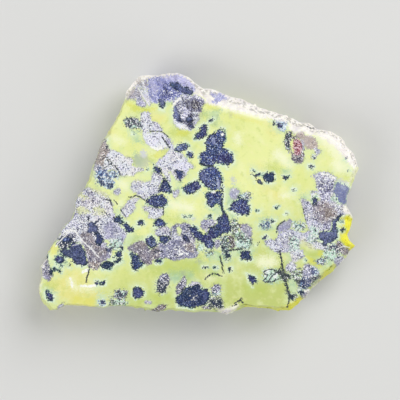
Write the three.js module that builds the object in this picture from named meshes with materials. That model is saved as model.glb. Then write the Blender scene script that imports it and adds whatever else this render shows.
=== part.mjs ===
// A slab of lemon-yellow serpentine, cut and polished on one side and broken all round.
// It is one stone, so it is one closed solid: a flat polished face, a rough rim that falls
// away from it, flanks flaked by the blows that shaped it, and a flat sawn back to rest on.
// Units are millimetres, +Z points out of the polished face, and the origin is in the middle
// of the back.

import * as THREE from 'three';

// ---- driving dimensions ------------------------------------------------------------

const LENGTH = 102.4;         // from the lower left corner to the right shoulder
const THICKNESS = 14;         // from the sawn back to the polished face

const HOLLOW_DEPTH = 1.1;     // the dark hollow in the nose
const POCKET_DEPTH = 0.8;     // the crystal pocket beside the nose
const LEDGE_DEPTH = 1.2;      // a step that runs round the flanks
const LEDGE_SIDES = 3;
const LEDGE_TURN = 1;         // which sides those are, in radians
const LEDGE_AT = [0.4, 0.6];  // where it starts and ends, as shares of the way down the flank

const SCAR_COUNT = 38;        // flake scars round the flanks
const SCAR_RADIUS = [5, 11];  // smallest and largest
const SCAR_DEPTH = [0.8, 2.4];
const SCARS_ON_BEVEL = 0.4;   // the bevel is weathered, so its scars keep this share of their depth

// ---- the squared sheet -------------------------------------------------------------
// The outline is drawn on a squared sheet laid over the face: columns run to the right and
// rows run down. Every point of the outline can be seen from the hub, so a ring round the
// stone is a radius for each bearing.

const SHEET_COLUMNS = 320;    // the stone's length in squares
const SQUARE = LENGTH / SHEET_COLUMNS;
const HUB = [200, 200];

// The stone's outline, clockwise from the lower left corner, as [column, row].
const OUTLINE = [
  [50, 310], [43, 302.5], [39, 294], [39, 288], [41, 277], [40.5, 266], [45.5, 258.5],
  [49, 251], [54, 242], [59, 236], [62, 229], [67, 223], [72.5, 218], [74, 212],
  [74.5, 203], [77.5, 195.5], [84, 188.5], [89, 181], [91.5, 171], [95, 161.5],
  [99.5, 149.5], [101.5, 141], [107.5, 133.5], [113.5, 124], [120, 113], [124, 102],
  [127, 90.5], [132.5, 83], [138, 77], [145, 75.2], [157, 74.8], [165, 73.6], [177, 72.5],
  [184, 75], [189, 77], [193.5, 82], [203.5, 89], [214, 89.5], [223, 93.5], [230, 97],
  [241, 99.3], [253, 105], [268, 110.5], [283, 115], [301, 122.3], [308, 123], [318, 129],
  [331, 131.5], [341, 137.5], [346, 145.5], [353.5, 154.5], [359, 167.5], [358, 172],
  [353.5, 180], [350.5, 188.5], [347.3, 196], [346, 205], [350.5, 213], [353.3, 219],
  [351.5, 226.5], [348, 235], [350, 240.5], [356, 246], [349.5, 252.5], [344.5, 259],
  [334, 270.5], [321, 280.5], [311.5, 289], [306, 297], [292, 308.8], [288.5, 310.7],
  [275, 309.8], [266, 308.3], [245, 306.2], [237, 310.2], [227, 313.8], [218, 311.8],
  [200, 311.2], [195, 312], [182, 310.8], [169, 309.6], [164, 310.8], [156, 310.8],
  [144, 308.2], [124, 305.6], [112, 305.7], [103, 307.6], [92, 306.3], [75, 305.2],
  [66, 305.2], [62, 306.8], [56.5, 309.8],
];

// How the rim is broken, by bearing. Each row is: the bearing in degrees, anticlockwise from
// the right; the width of the broken bevel between the polished face and the outline, in
// squares; how far the bevel falls, in millimetres; and how far the back edge lies inside
// the outline, in millimetres.
const RIM = [
  [-179, 2, 2, 2.5],
  [-163, 2, 1.6, 3],       // left edge
  [-150, 2, 2.2, 3.5],
  [-143.5, 4, 3, 4],       // lower left corner
  [-136, 2, 1.6, 4],
  [-112, 2, 1.5, 3],       // lower edge
  [-90, 2.5, 1.6, 3.4],
  [-76, 3.5, 2, 2.6],
  [-62, 3, 2.2, 3.2],
  [-51.5, 4.5, 4.5, 2.6],
  [-43, 2, 3, 3],          // lower right break
  [-36, 5, 5, 2.4],
  [-27.5, 5, 5, 2.2],
  [-22.5, 4.5, 3.6, 3],
  [-17.5, 9.5, 6, 1.6],    // right facet
  [-12.5, 10, 6, 1.8],
  [-8, 13, 6.4, 1.8],
  [-4, 5, 4, 2.8],
  [-1, 1.5, 2, 3.4],       // notch
  [5, 4, 3, 3],
  [11.5, 7, 4.4, 2],       // right shoulder
  [19, 8, 4, 3],
  [25.5, 9, 3.6, 3.4],
  [34, 14, 3.8, 3],        // weathered bevel
  [45, 11, 3.2, 3.4],
  [58, 13, 3.6, 2.8],
  [73, 13, 3.4, 3.4],
  [86.5, 14, 3.2, 3],
  [90, 10, 3, 3],
  [93, 15, 3.6, 2.4],      // nose
  [97, 21, 4.2, 1.8],
  [104, 26, 4.4, 1.6],
  [116, 29.5, 4.6, 1.6],
  [120, 26.7, 4.4, 2],
  [123.5, 13, 3.8, 2.8],
  [127.5, 1.5, 2.4, 3.8],
  [140, 2, 2, 4],          // left slope
  [147, 3, 2.4, 3.6],
  [160, 3.5, 2.6, 3],
  [170, 2.5, 2, 3.2],
];

const BEVEL_BOW = 1.3;        // above 1, the bevel falls slowly at first and steeply at the outline
const FLANK_BOW = 1.4;        // above 1, the flank hangs steep at first and turns in at the back

// Oval dents, as the column, row and half widths in squares.
const HOLLOW = { column: 181, row: 88, across: 12, down: 6.5 };
const POCKET = { column: 188.5, row: 114, across: 17, down: 18 };
const DENT_FLOOR = 0.45;      // the flat floor's share of a dent's width

// ---- how finely the solid is faceted -----------------------------------------------

const AROUND = 190;                                             // points round each ring
const FACE_RINGS = [0.22, 0.45, 0.6, 0.71, 0.8, 0.88, 0.95, 1];  // shares of the way out
const BEVEL_RINGS = [0.25, 0.5, 0.75, 1];                       // shares of the bevel
const FLANK_RINGS = [0.2, 0.4, 0.6, 0.8, 1];                    // shares of the way down
const BACK_RINGS = [0.6, 0.25];                                 // shares of the way in

// ---- small tools -------------------------------------------------------------------

const TURN = 2 * Math.PI;
const GOLDEN_SHARE = 0.618034;  // its steps round a turn never fall together

function lerp(from, to, share) {
  return from + (to - from) * share;
}

function smoothstep(from, to, value) {
  return THREE.MathUtils.smoothstep(value, from, to);
}

// The fractional part of a number, always from 0 to 1.
function fraction(value) {
  return value - Math.floor(value);
}

// Sheet to stone: x and y in millimetres from the hub.
function fromSheet([column, row]) {
  return new THREE.Vector2((column - HUB[0]) * SQUARE, (HUB[1] - row) * SQUARE);
}

// Points at equal steps along the closed outline, anticlockwise.
function evenPoints(outline, count) {
  const corners = outline.map(fromSheet).reverse();
  const loop = new THREE.CurvePath();
  corners.forEach((corner, i) => {
    loop.add(new THREE.LineCurve(corner, corners[(i + 1) % corners.length]));
  });
  return Array.from({ length: count }, (_, i) => loop.getPoint(i / count));
}

// The RIM table's values at a bearing, straight between its rows all the way round.
function rimAt(bearing) {
  const degrees = THREE.MathUtils.radToDeg(bearing);
  const after = RIM.findIndex((row) => row[0] > degrees);
  const high = RIM[Math.max(after, 0)];
  const low = RIM.at(after > 0 ? after - 1 : -1);
  const share = ((degrees - low[0] + 360) % 360) / ((high[0] - low[0] + 360) % 360);
  const [width, drop, undercut] = [1, 2, 3].map((column) => lerp(low[column], high[column], share));
  return { width: width * SQUARE, drop, undercut };
}

// How deep a point lies in an oval dent: 0 outside it, 1 on its floor.
function dent(oval, x, y) {
  const centre = fromSheet([oval.column, oval.row]);
  const across = (x - centre.x) / (oval.across * SQUARE);
  const down = (y - centre.y) / (oval.down * SQUARE);
  return 1 - smoothstep(DENT_FLOOR, 1, Math.hypot(across, down));
}

// ---- the rim -----------------------------------------------------------------------

const outlinePoints = evenPoints(OUTLINE, AROUND);

// One station for each point of the outline: which way is out, how far out the outline lies,
// and how the rim is broken there.
const stations = outlinePoints.map((point) => ({
  bearing: point.angle() > Math.PI ? point.angle() - TURN : point.angle(),
  out: point.clone().normalize(),
  reach: point.length(),
})).map((station) => ({ ...station, ...rimAt(station.bearing) }));

// Flake scars: shallow bowls whose centres lie round the outline. Each measure steps through
// its range by its own irrational stride, so the scars are spread evenly and no two are alike.
const STRIDE = { height: Math.SQRT2, radius: Math.sqrt(3), depth: Math.sqrt(5) };
const scars = Array.from({ length: SCAR_COUNT }, (_, i) => {
  const beside = outlinePoints[Math.floor(fraction(i * GOLDEN_SHARE) * AROUND)];
  return {
    centre: new THREE.Vector3(beside.x, beside.y, THICKNESS * fraction(i * STRIDE.height)),
    radius: lerp(...SCAR_RADIUS, fraction(i * STRIDE.radius)),
    depth: lerp(...SCAR_DEPTH, fraction(i * STRIDE.depth)),
  };
});

// How much the deepest scar over a point takes away. Where two scars meet they leave a ridge.
function scarred(point) {
  const depths = scars.map((scar) => {
    const share = scar.centre.distanceTo(point) / scar.radius;
    return scar.depth * Math.max(0, 1 - share * share);
  });
  return Math.max(...depths);
}

// The step in the flank, deepest on LEDGE_SIDES sides and gone between them.
function ledge(bearing, wayDown) {
  const side = 0.5 + 0.5 * Math.cos(LEDGE_SIDES * bearing + LEDGE_TURN);
  return LEDGE_DEPTH * side * smoothstep(...LEDGE_AT, wayDown);
}

// ---- the surface, ring by ring -----------------------------------------------------

function place(station, radius, z) {
  return new THREE.Vector3(station.out.x * radius, station.out.y * radius, z);
}

function facePoint(station, share) {
  const point = place(station, share * (station.reach - station.width), THICKNESS);
  point.z -= POCKET_DEPTH * dent(POCKET, point.x, point.y);
  return point;
}

// The bevel keeps its edges: its scars fade to nothing at the face and at the outline.
function bevelPoint(station, share) {
  const radius = station.reach - station.width * (1 - share);
  const point = place(station, radius, THICKNESS - station.drop * share ** BEVEL_BOW);
  const clearOfEdges = 4 * share * (1 - share);
  point.z -= SCARS_ON_BEVEL * scarred(point) * clearOfEdges;
  point.z -= HOLLOW_DEPTH * dent(HOLLOW, point.x, point.y);
  point.z -= POCKET_DEPTH * dent(POCKET, point.x, point.y);
  return point;
}

function flankPoint(station, share) {
  const z = (THICKNESS - station.drop) * (1 - share);
  const undercut = station.undercut * share ** FLANK_BOW + ledge(station.bearing, share);
  const radius = station.reach - undercut;
  return place(station, radius - scarred(place(station, radius, z)), z);
}

function backPoint(station, share) {
  return flankPoint(station, 1).multiplyScalar(share);
}

const rings = [
  ...FACE_RINGS.map((share) => stations.map((station) => facePoint(station, share))),
  ...BEVEL_RINGS.map((share) => stations.map((station) => bevelPoint(station, share))),
  ...FLANK_RINGS.map((share) => stations.map((station) => flankPoint(station, share))),
  ...BACK_RINGS.map((share) => stations.map((station) => backPoint(station, share))),
];

// One closed skin: a fan on the face, bands between the rings, and a fan on the back.
function skin() {
  const points = [new THREE.Vector3(0, 0, THICKNESS), ...rings.flat(), new THREE.Vector3()];
  const at = (ring, around) => 1 + ring * AROUND + (around % AROUND);
  const last = points.length - 1;
  const triangles = [];
  for (let i = 0; i < AROUND; i += 1) {
    triangles.push(0, at(0, i), at(0, i + 1));
    for (let ring = 0; ring < rings.length - 1; ring += 1) {
      const [a, b] = [at(ring, i), at(ring, i + 1)];
      const [c, d] = [at(ring + 1, i), at(ring + 1, i + 1)];
      triangles.push(a, c, d, a, d, b);
    }
    triangles.push(last, at(rings.length - 1, i + 1), at(rings.length - 1, i));
  }
  const geometry = new THREE.BufferGeometry().setFromPoints(points);
  geometry.setIndex(triangles);
  geometry.computeVertexNormals();
  return geometry;
}

function serpentineSlab() {
  const geometry = skin();
  geometry.computeBoundingBox();
  const middle = geometry.boundingBox.getCenter(new THREE.Vector3());
  geometry.translate(-middle.x, -middle.y, 0);
  const stone = new THREE.MeshStandardMaterial({ color: '#e3e99f', roughness: 0.25, metalness: 0 });
  const slab = new THREE.Mesh(geometry, stone);
  slab.name = 'serpentine_slab';
  return slab;
}

const specimen = new THREE.Group();
specimen.add(serpentineSlab());

export default specimen;
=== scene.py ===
# %% [markdown]
# # A polished slab of lemon-yellow serpentine
#
# The stone is one piece: a slab about 10 cm long, sawn and polished on one side and broken
# everywhere else. Its body is lemon-yellow serpentine, a waxy stone that lets a little light
# in. In it sit navy-black grains of magnetite and silvery patches of metal ore, with thin
# cracks between them. A white weathered rind runs along the upper rim.
#
# The lesson has three parts: a mesh worked out ring by ring with numpy, the minerals drawn
# as outlines and stored on the mesh as distances, and one material that reads those
# distances and gives each mineral its colour, shine and grain.

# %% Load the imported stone
import math

import bpy
import numpy as np
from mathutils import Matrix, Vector


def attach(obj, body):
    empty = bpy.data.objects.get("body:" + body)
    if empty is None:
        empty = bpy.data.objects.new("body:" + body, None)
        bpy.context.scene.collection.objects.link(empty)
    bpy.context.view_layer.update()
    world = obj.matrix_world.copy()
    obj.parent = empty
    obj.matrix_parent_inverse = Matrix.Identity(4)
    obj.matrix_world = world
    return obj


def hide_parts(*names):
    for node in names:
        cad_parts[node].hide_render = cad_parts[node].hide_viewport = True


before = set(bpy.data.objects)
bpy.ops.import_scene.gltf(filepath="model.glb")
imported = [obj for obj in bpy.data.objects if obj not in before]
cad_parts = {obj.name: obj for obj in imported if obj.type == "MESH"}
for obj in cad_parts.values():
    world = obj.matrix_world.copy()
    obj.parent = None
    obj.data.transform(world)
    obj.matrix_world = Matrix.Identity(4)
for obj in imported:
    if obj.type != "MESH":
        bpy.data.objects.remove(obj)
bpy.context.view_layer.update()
MM = 0.001


# %% [markdown]
# ## The squared sheet
#
# A draughtsman copies a flat face by laying a squared sheet over it and noting where each
# line crosses. This does the same. Columns run to the right, rows run down, and the stone
# is 320 squares long, so one square is 0.32 mm. Every outline below, of the stone and of
# each mineral grain, starts at a column,row pair on that sheet.
#
# The pairs after the first are steps from one corner to the next, which keeps the numbers
# short. One formula turns them all into millimetres.

# %% Sheet to millimetres
LENGTH, THICKNESS = 102.4, 14.0
SHEET_COLUMNS = 320
SQUARE = LENGTH / SHEET_COLUMNS
HUB = np.array([200.0, 200.0])
TURN = 2 * np.pi


def path_in(text):
    """Column,row points from a text: the running sum of its pairs, to a tenth of a square."""
    pairs = np.array([pair.split(",") for pair in text.split()], float)
    return np.cumsum(pairs, axis=0).round(1)


def from_sheet(points):
    """Millimetres from the hub: x grows with the column, and y shrinks as the row grows."""
    return (np.asarray(points, float) - HUB) * [SQUARE, -SQUARE]


OUTLINE = path_in("""
    50,310 -7,-7.5 -4,-8.5 0,-6 2,-11 -.5,-11 5,-7.5 3.5,-7.5 5,-9 5,-6 3,-7 5,-6 5.5,-5 1.5,-6 .5,-9
    3,-7.5 6.5,-7 5,-7.5 2.5,-10 3.5,-9.5 4.5,-12 2,-8.5 6,-7.5 6,-9.5 6.5,-11 4,-11 3,-11.5 5.5,-7.5
    5.5,-6 7,-1.8 12,-.4 8,-1.2 12,-1.1 7,2.5 5,2 4.5,5 10,7 10.5,.5 9,4 7,3.5 11,2.3 12,5.7 15,5.5
    15,4.5 18,7.3 7,.7 10,6 13,2.5 10,6 5,8 7.5,9 5.5,13 -1,4.5 -4.5,8 -3,8.5 -3.2,7.5 -1.3,9 4.5,8
    2.8,6 -1.8,7.5 -3.5,8.5 2,5.5 6,5.5 -6.5,6.5 -5,6.5 -10.5,11.5 -13,10 -9.5,8.5 -5.5,8 -14,11.8
    -3.5,1.9 -13.5,-.9 -9,-1.5 -21,-2.1 -8,4 -10,3.6 -9,-2 -18,-.6 -5,.8 -13,-1.2 -13,-1.2 -5,1.2 -8,0
    -12,-2.6 -20,-2.6 -12,.1 -9,1.9 -11,-1.3 -17,-1.1 -9,0 -4,1.6 -5.5,3
""")
print("the outline has", len(OUTLINE), "points, and a square is", SQUARE, "mm")

# %% [markdown]
# ## How the rim is broken
#
# The polished face stops a little short of the outline. Between them lies a broken bevel,
# wide where a flake came off, as on the nose at the top left, and narrow along the sawn
# edges. Below the outline the flank turns in towards the back.
#
# One table says all this by bearing, the angle from the hub. `np.interp` with a period of
# 360 degrees reads it all the way round without a seam.

# %% The rim by bearing
# Bearing in degrees anticlockwise from the right; width of the bevel in squares; how far it
# falls and how far the back edge lies inside the outline, both in millimetres.
RIM = np.array([
    [-179, 2, 2, 2.5], [-163, 2, 1.6, 3], [-150, 2, 2.2, 3.5],
    [-143.5, 4, 3, 4], [-136, 2, 1.6, 4],                         # lower left corner
    [-112, 2, 1.5, 3], [-90, 2.5, 1.6, 3.4], [-76, 3.5, 2, 2.6], [-62, 3, 2.2, 3.2],
    [-51.5, 6, 4.5, 2.6], [-43, 4, 3, 3], [-36, 7, 5, 2.4],       # lower right break
    [-27.5, 6.5, 5, 2.2], [-22.5, 4.5, 3.6, 3],
    [-17.5, 9.5, 6, 1.6], [-12.5, 10, 6, 1.8], [-8, 13, 6.4, 1.8],  # right facet
    [-4, 5, 4, 2.8], [-1, 1.5, 2, 3.4], [5, 4, 3, 3],             # notch
    [11.5, 7, 4.4, 2], [19, 8, 4, 3], [25.5, 9, 3.6, 3.4],        # right shoulder
    [34, 14, 3.8, 3], [45, 11, 3.2, 3.4], [58, 13, 3.6, 2.8],     # weathered bevel
    [73, 13, 3.4, 3.4], [86.5, 14, 3.2, 3], [90, 10, 3, 3],
    [93, 15, 3.6, 2.4], [97, 21, 4.2, 1.8], [104, 26, 4.4, 1.6],  # nose
    [116, 29.5, 4.6, 1.6], [120, 26.7, 4.4, 2], [123.5, 13, 3.8, 2.8],
    [127.5, 1.5, 2.4, 3.8], [140, 2, 2, 4], [147, 3, 2.4, 3.6],   # left slope
    [160, 3.5, 2.6, 3], [170, 2.5, 2, 3.2],
])


def outline_at(share):
    """The outline, in millimetres from the hub, at shares of the way round it anticlockwise."""
    loop = from_sheet(OUTLINE)[::-1]
    loop = np.vstack([loop, loop[:1]])
    along = np.concatenate([[0], np.cumsum(np.linalg.norm(np.diff(loop, axis=0), axis=1))])
    where = np.mod(share, 1) * along[-1]
    return np.stack([np.interp(where, along, loop[:, axis]) for axis in (0, 1)], -1)


def rim_at(points):
    """Bevel width, fall and undercut, in millimetres, for points of the outline."""
    bearing = np.degrees(np.arctan2(points[..., 1], points[..., 0]))
    width, fall, undercut = (np.interp(bearing, RIM[:, 0], RIM[:, k], period=360) for k in (1, 2, 3))
    return width * SQUARE, fall, undercut


print("the bevel is", RIM[:, 1].min() * SQUARE, "to", RIM[:, 1].max() * SQUARE, "mm wide")

# %% [markdown]
# ## Chance that is the same each time
#
# Broken stone needs irregular numbers, but the stone must come out the same on every run.
# So the chance comes from a hash: the whole-number corner of a cell is multiplied by large
# odd numbers and its bits are shuffled, which gives a number from 0 to 1 that looks random
# and never changes.
#
# Two textures are built on it. `cloud` blends the numbers at a cell's eight corners, for
# soft swells. `splinters` gives each cell a tilted plane of its own, and every point takes
# the plane of its nearest cell centre, so flat facets meet at sharp edges as in broken rock.

# %% Hash, clouds and splinters
def chance(cells, seed):
    """A number from 0 to 1 for each row of whole numbers: products of large odd numbers,
    exclusive-ored together, then shuffled by shifts and one more product."""
    mixed = np.full(cells.shape[:-1], seed * 0x9E3779B1 & 0xFFFFFFFF, np.uint64)
    for axis, factor in enumerate((0x8DA6B343, 0xD8163841, 0xCB1AB31F)):
        mixed = (mixed ^ (cells[..., axis].astype(np.int64).astype(np.uint64) * factor)) & 0xFFFFFFFF
        mixed = ((mixed ^ (mixed >> 15)) * 0x2C1B3C6D) & 0xFFFFFFFF
    mixed = ((mixed ^ (mixed >> 12)) * 0x297A2D39) & 0xFFFFFFFF
    return (mixed ^ (mixed >> 15)) / 0x100000000


def three_chances(cells, seed):
    """Three such numbers for each row, side by side."""
    return np.stack([chance(cells, seed + k) for k in range(3)], -1)


def smooth_step(low, high, value):
    """0 below low, 1 above high, and 3t^2 - 2t^3 between them."""
    t = np.clip((value - low) / (high - low), 0, 1)
    return t * t * (3 - 2 * t)


def cloud(points, size, seed):
    """Smooth noise from -1 to 1 with swells about `size` across: the chance numbers of a
    cell's eight corners, blended by a smooth step along each axis."""
    cell = np.floor(points / size)
    t = smooth_step(0, 1, points / size - cell)
    total = 0
    for corner in np.ndindex(2, 2, 2):
        weight = np.prod(np.where(corner, t, 1 - t), axis=-1)
        total = total + weight * chance(cell + corner, seed)
    return 2 * total - 1


def splinters(points, size, tilt, seed):
    """Flat facets about `size` across. Each cell holds one centre, off its middle by chance.
    A point takes the nearest centre's plane: height = slope . (point - centre) + step."""
    cell = np.floor(points / size)
    nearest = np.full(len(points), np.inf)
    height = np.zeros(len(points))
    for shift in np.ndindex(3, 3, 3):
        near = cell + np.array(shift) - 1
        away = points - (near + three_chances(near, seed)) * size
        distance = np.linalg.norm(away, axis=-1)
        slope = three_chances(near, seed + 3) * 2 - 1
        plane = tilt * (np.sum(slope * away, axis=-1) + size * (chance(near, seed + 6) - 0.5))
        height = np.where(distance < nearest, plane, height)
        nearest = np.minimum(nearest, distance)
    return height


print("chance of three cells:", np.round(chance(np.array([[0, 0, 0], [1, 0, 0], [-4, 7, 2]]), 1), 3))

# %% [markdown]
# ## The polished face as a pressed square
#
# Rings round a hub crowd together in the middle and spread out at the rim, which wastes
# points. Instead a square grid is pressed into a disc, x = u sqrt(1 - v*v/2) and
# y = v sqrt(1 - u*u/2), and the disc is then stretched to the stone's outline. The cells stay
# nearly the same size everywhere, about 0.5 mm, which is fine enough to carry the minerals.
#
# The grid's own border gives the stations for the rim: each border point starts a line that
# runs over the bevel, down the flank and in across the back.

# %% Face grid and stations
CELLS = 200                     # cells along each side of the square grid
grid = np.arange((CELLS + 1) ** 2).reshape(CELLS + 1, CELLS + 1)   # each point's number


def pressed_square():
    """Share of a turn and radius, from 0 to 1, of each point of the grid pressed into a disc."""
    u, v = np.meshgrid(np.linspace(-1, 1, CELLS + 1), np.linspace(-1, 1, CELLS + 1))
    x, y = u * np.sqrt(1 - v * v / 2), v * np.sqrt(1 - u * u / 2)
    return np.mod(np.arctan2(y, x) / TURN, 1).ravel(), np.hypot(x, y).ravel()


grid_share, grid_radius = pressed_square()
rim_index = np.concatenate([grid[0, :-1], grid[:-1, -1], grid[-1, :0:-1], grid[:0:-1, 0]])
rim_share = grid_share[rim_index]   # the border, anticlockwise from its lower left corner
stations = len(rim_index)
print("face points:", grid_share.size, " stations round the rim:", stations)

# %% [markdown]
# ## Flake scars, the ledge, the hollow and the pocket
#
# A blow on stone lifts a shallow bowl of a flake. Where two scars meet they leave a ridge, so
# a point is cut by the deepest scar over it and by no other. The scars' places step round
# the rim by the golden section, which never repeats, and their heights, radii and depths by
# the roots of 2, 3 and 5.
#
# A ledge runs along the flanks where the rock parted on a weak layer. The nose has a dark
# hollow, and beside it a pocket of small crystals is sunk into the face.

# %% Scars, ledge and dents
GOLDEN_SHARE = 0.618034
SCAR_COUNT, SCAR_PLACES = 38, 190
SCAR_RADIUS, SCAR_DEPTH = (5, 11), (0.8, 2.4)   # least and most, mm
LEDGE_DEPTH, LEDGE_SIDES, LEDGE_TURN, LEDGE_AT = 1.2, 3, 1, (0.4, 0.6)
HOLLOW = (181, 88, 12, 6.5, 1.1)   # column, row, half widths in squares, depth in mm
POCKET = (188.5, 114, 17, 18, 0.8)
DENT_FLOOR = 0.45               # share of a dent's radius that is flat


def scarred(points):
    """Depth of the deepest scar over each point: depth * (1 - (distance / radius)^2)."""
    deepest = np.zeros(points.shape[:-1])
    for i in range(SCAR_COUNT):
        beside = outline_at(math.floor(i * GOLDEN_SHARE % 1 * SCAR_PLACES) / SCAR_PLACES)
        centre = np.append(beside, THICKNESS * (i * math.sqrt(2) % 1))
        radius = np.interp(i * math.sqrt(3) % 1, (0, 1), SCAR_RADIUS)
        depth = np.interp(i * math.sqrt(5) % 1, (0, 1), SCAR_DEPTH)
        share = np.linalg.norm(points - centre, axis=-1) / radius
        deepest = np.maximum(deepest, depth * (1 - share * share))
    return deepest


def ledge(bearing, way_down):
    """How far the flank steps in: deepest on three sides and gone between them."""
    side = 0.5 + 0.5 * np.cos(LEDGE_SIDES * bearing + LEDGE_TURN)
    return LEDGE_DEPTH * side * smooth_step(*LEDGE_AT, way_down)


def dent(oval, points):
    """Depth of an oval dent with a flat floor and sloping sides."""
    column, row, across, down, depth = oval
    away = (points[..., :2] - from_sheet([column, row])) / (np.array([across, down]) * SQUARE)
    return depth * (1 - smooth_step(DENT_FLOOR, 1, np.hypot(away[..., 0], away[..., 1])))


print("scars at the right take", round(float(scarred(np.array([[50.0, 0, 7]]))[0]), 2), "mm")

# %% [markdown]
# ## The whole skin
#
# Each stretch of the skin is a function of two numbers: which station of the rim it belongs
# to, and the share of the way along that stretch. The face, bevel, flank and back are worked
# out as whole arrays, one row per ring, and stacked.

# %% Face, bevel, flank and back
BEVEL_RINGS, FLANK_RINGS, BACK_RINGS = 11, 25, 26
BEVEL_BOW, FLANK_BOW = 1.3, 1.4
NIBBLE, NIBBLES = 0.16, ((1.1, 5), (2.7, 6))    # how ragged the outline is, mm; sizes and seeds
FRINGE, FRINGES = 0.192, ((1.6, 7), (0.8, 8))   # the same for the face's edge
LEAST_WIDTH = 0.2               # of the bevel, mm


def with_z(xy, z):
    """Joins x, y and z, spreading z over all the points."""
    return np.concatenate([xy, np.broadcast_to(z, xy.shape[:-1])[..., None]], -1)


def shares(rings):
    """Shares of the way along a stretch, one row for each of its rings."""
    return np.arange(1, rings + 1)[:, None] / rings


edge = outline_at(rim_share)
edge_radius = np.linalg.norm(edge, axis=-1)
out = edge / edge_radius[:, None]
bearing = np.arctan2(out[:, 1], out[:, 0])
width, fall, undercut = rim_at(edge)
edge_3d = with_z(edge, 0)
reach = edge_radius + NIBBLE * sum(cloud(edge_3d, *swell) for swell in NIBBLES) + NIBBLE
ragged = FRINGE * sum(cloud(edge_3d, *swell) for swell in FRINGES)
width = np.maximum(width + ragged, LEAST_WIDTH)


def across_face():
    """The pressed square stretched until its border meets the face's edge."""
    order = np.argsort(rim_share)
    radius = np.interp(grid_share, rim_share[order], (reach - width)[order], period=1)
    way = outline_at(grid_share)
    return way / np.linalg.norm(way, axis=-1, keepdims=True) * (radius * grid_radius)[:, None]


def bevel_at(share):
    """From the face's edge out to the outline, falling as share^1.3."""
    radius = reach - width * (1 - share)
    return out * radius[..., None], THICKNESS - fall * share ** BEVEL_BOW


def flank_at(share):
    """From the outline down to the back, turning in as share^1.4, with the ledge."""
    inward = undercut * share ** FLANK_BOW + ledge(bearing, share)
    return out * (reach - inward)[..., None], (THICKNESS - fall) * (1 - share)


bevel_share, flank_share = shares(BEVEL_RINGS), shares(FLANK_RINGS)
back_share = 1 - shares(BACK_RINGS + 1)[:-1]
face = with_z(across_face(), THICKNESS)
bevel = with_z(*bevel_at(bevel_share))
flank = with_z(*flank_at(flank_share))
print("rings:", BEVEL_RINGS, "on the bevel,", FLANK_RINGS, "down the flank,", BACK_RINGS, "on the back")

# %% [markdown]
# ## Roughening what is broken
#
# Fine roughness is added here and not in the material, because it shows in outline: splinters
# 4 mm and 1.5 mm across on everything broken, and crystals in the pocket. The polished face
# stays flat, and nothing rises above it.

# %% Roughen what is broken
FACETS = ((4.2, 0.30, 20), (1.5, 0.34, 30))     # size in mm, tilt, seed
CRYSTALS, CHIPS = (2.3, 0.55, 50), (0.9, 0.6, 60)
GRIT, GRIT_SIZE, GRIT_SEED = 0.08, 0.7, 40
CHIP_SHARE = 0.3
SETS_IN = (0.3, 0.1)            # shares of the bevel and of the flank where roughness is full
BEVEL_FULL = 3.5                # a bevel this wide takes the full roughness, mm
BEVEL_CUT = 0.4                 # share of a scar's depth that the bevel takes
WORN_BEARING, WORN_SPAN, WORN_SHARE = 57, (0.7, 0.85), 0.7   # the upper rim, weathered smooth
BEVEL_DROP = 0.1                # the bevel's outer ring stays this far below the face, mm


def broken(points):
    """Height of broken stone at each point: coarse facets, fine facets and a little grit."""
    flat = points.reshape(-1, 3)
    height = sum(splinters(flat, *facet) for facet in FACETS) + GRIT * cloud(flat, GRIT_SIZE, GRIT_SEED)
    return height.reshape(points.shape[:-1])


def crystals(points):
    """Tilted crystal faces over the pocket's floor, fading out at its edge."""
    depth = dent(POCKET, points) / POCKET[-1]
    return depth * splinters(points, *CRYSTALS) + CHIP_SHARE * depth * splinters(points, *CHIPS)


in_pocket = dent(POCKET, face) > 0
face[in_pocket, 2] += crystals(face[in_pocket]) - dent(POCKET, face[in_pocket])
face[:, 2] = np.minimum(face[:, 2], THICKNESS)

clear_of_edges = 4 * bevel_share * (1 - bevel_share)
bevel_cut = BEVEL_CUT * scarred(bevel) * clear_of_edges + dent(HOLLOW, bevel) + dent(POCKET, bevel)
worn_smooth = smooth_step(*WORN_SPAN, np.cos(bearing - math.radians(WORN_BEARING)))
room = np.minimum(width / BEVEL_FULL, 1) * (1 - WORN_SHARE * worn_smooth)
bevel[..., 2] += room * broken(bevel) * smooth_step(0, SETS_IN[0], bevel_share) - bevel_cut
bevel[..., 2] = np.minimum(bevel[..., 2], THICKNESS - BEVEL_DROP * bevel_share)
flank_rough = broken(flank) * smooth_step(0, SETS_IN[1], flank_share) - scarred(flank)
flank[..., :2] += out * flank_rough[..., None]
flank[-1, :, 2] = 0
back = flank[-1] * back_share[..., None]
print("the flank is cut back by up to", round(float(scarred(flank).max()), 2), "mm")

# %% [markdown]
# ## From arrays to a mesh
#
# The stretches are stacked into one list of points. The grid gives the face's quads, each
# pair of rings gives a band of quads, and a fan of triangles closes the back. The order of
# the corners is anticlockwise as seen from outside, so every face points outwards.
#
# The hub isn't the middle of the stone, so the points move until the outline's box is centred
# on the origin, as it is in the solid.

# %% Build the mesh
SHARP = math.radians(38)        # edges that turn more than this are drawn sharp

rings = np.concatenate([bevel, flank, back])
points = np.concatenate([face, rings.reshape(-1, 3), np.zeros((1, 3))])
ring_start = len(face) + np.arange(len(rings)) * stations
index = np.vstack([rim_index, ring_start[:, None] + np.arange(stations)])
ahead = np.roll(index, -1, axis=1)
face_quads = [grid[:-1, :-1], grid[:-1, 1:], grid[1:, 1:], grid[1:, :-1]]
band_quads = [index[:-1], index[1:], ahead[1:], ahead[:-1]]
fan = [index[-1], np.full(stations, len(points) - 1), ahead[-1]]
faces = sum((np.stack(corners, -1).reshape(-1, len(corners)).tolist()
             for corners in (face_quads, band_quads, fan)), [])
outline_box = from_sheet(OUTLINE)
middle = (outline_box.min(axis=0) + outline_box.max(axis=0)) / 2


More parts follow.
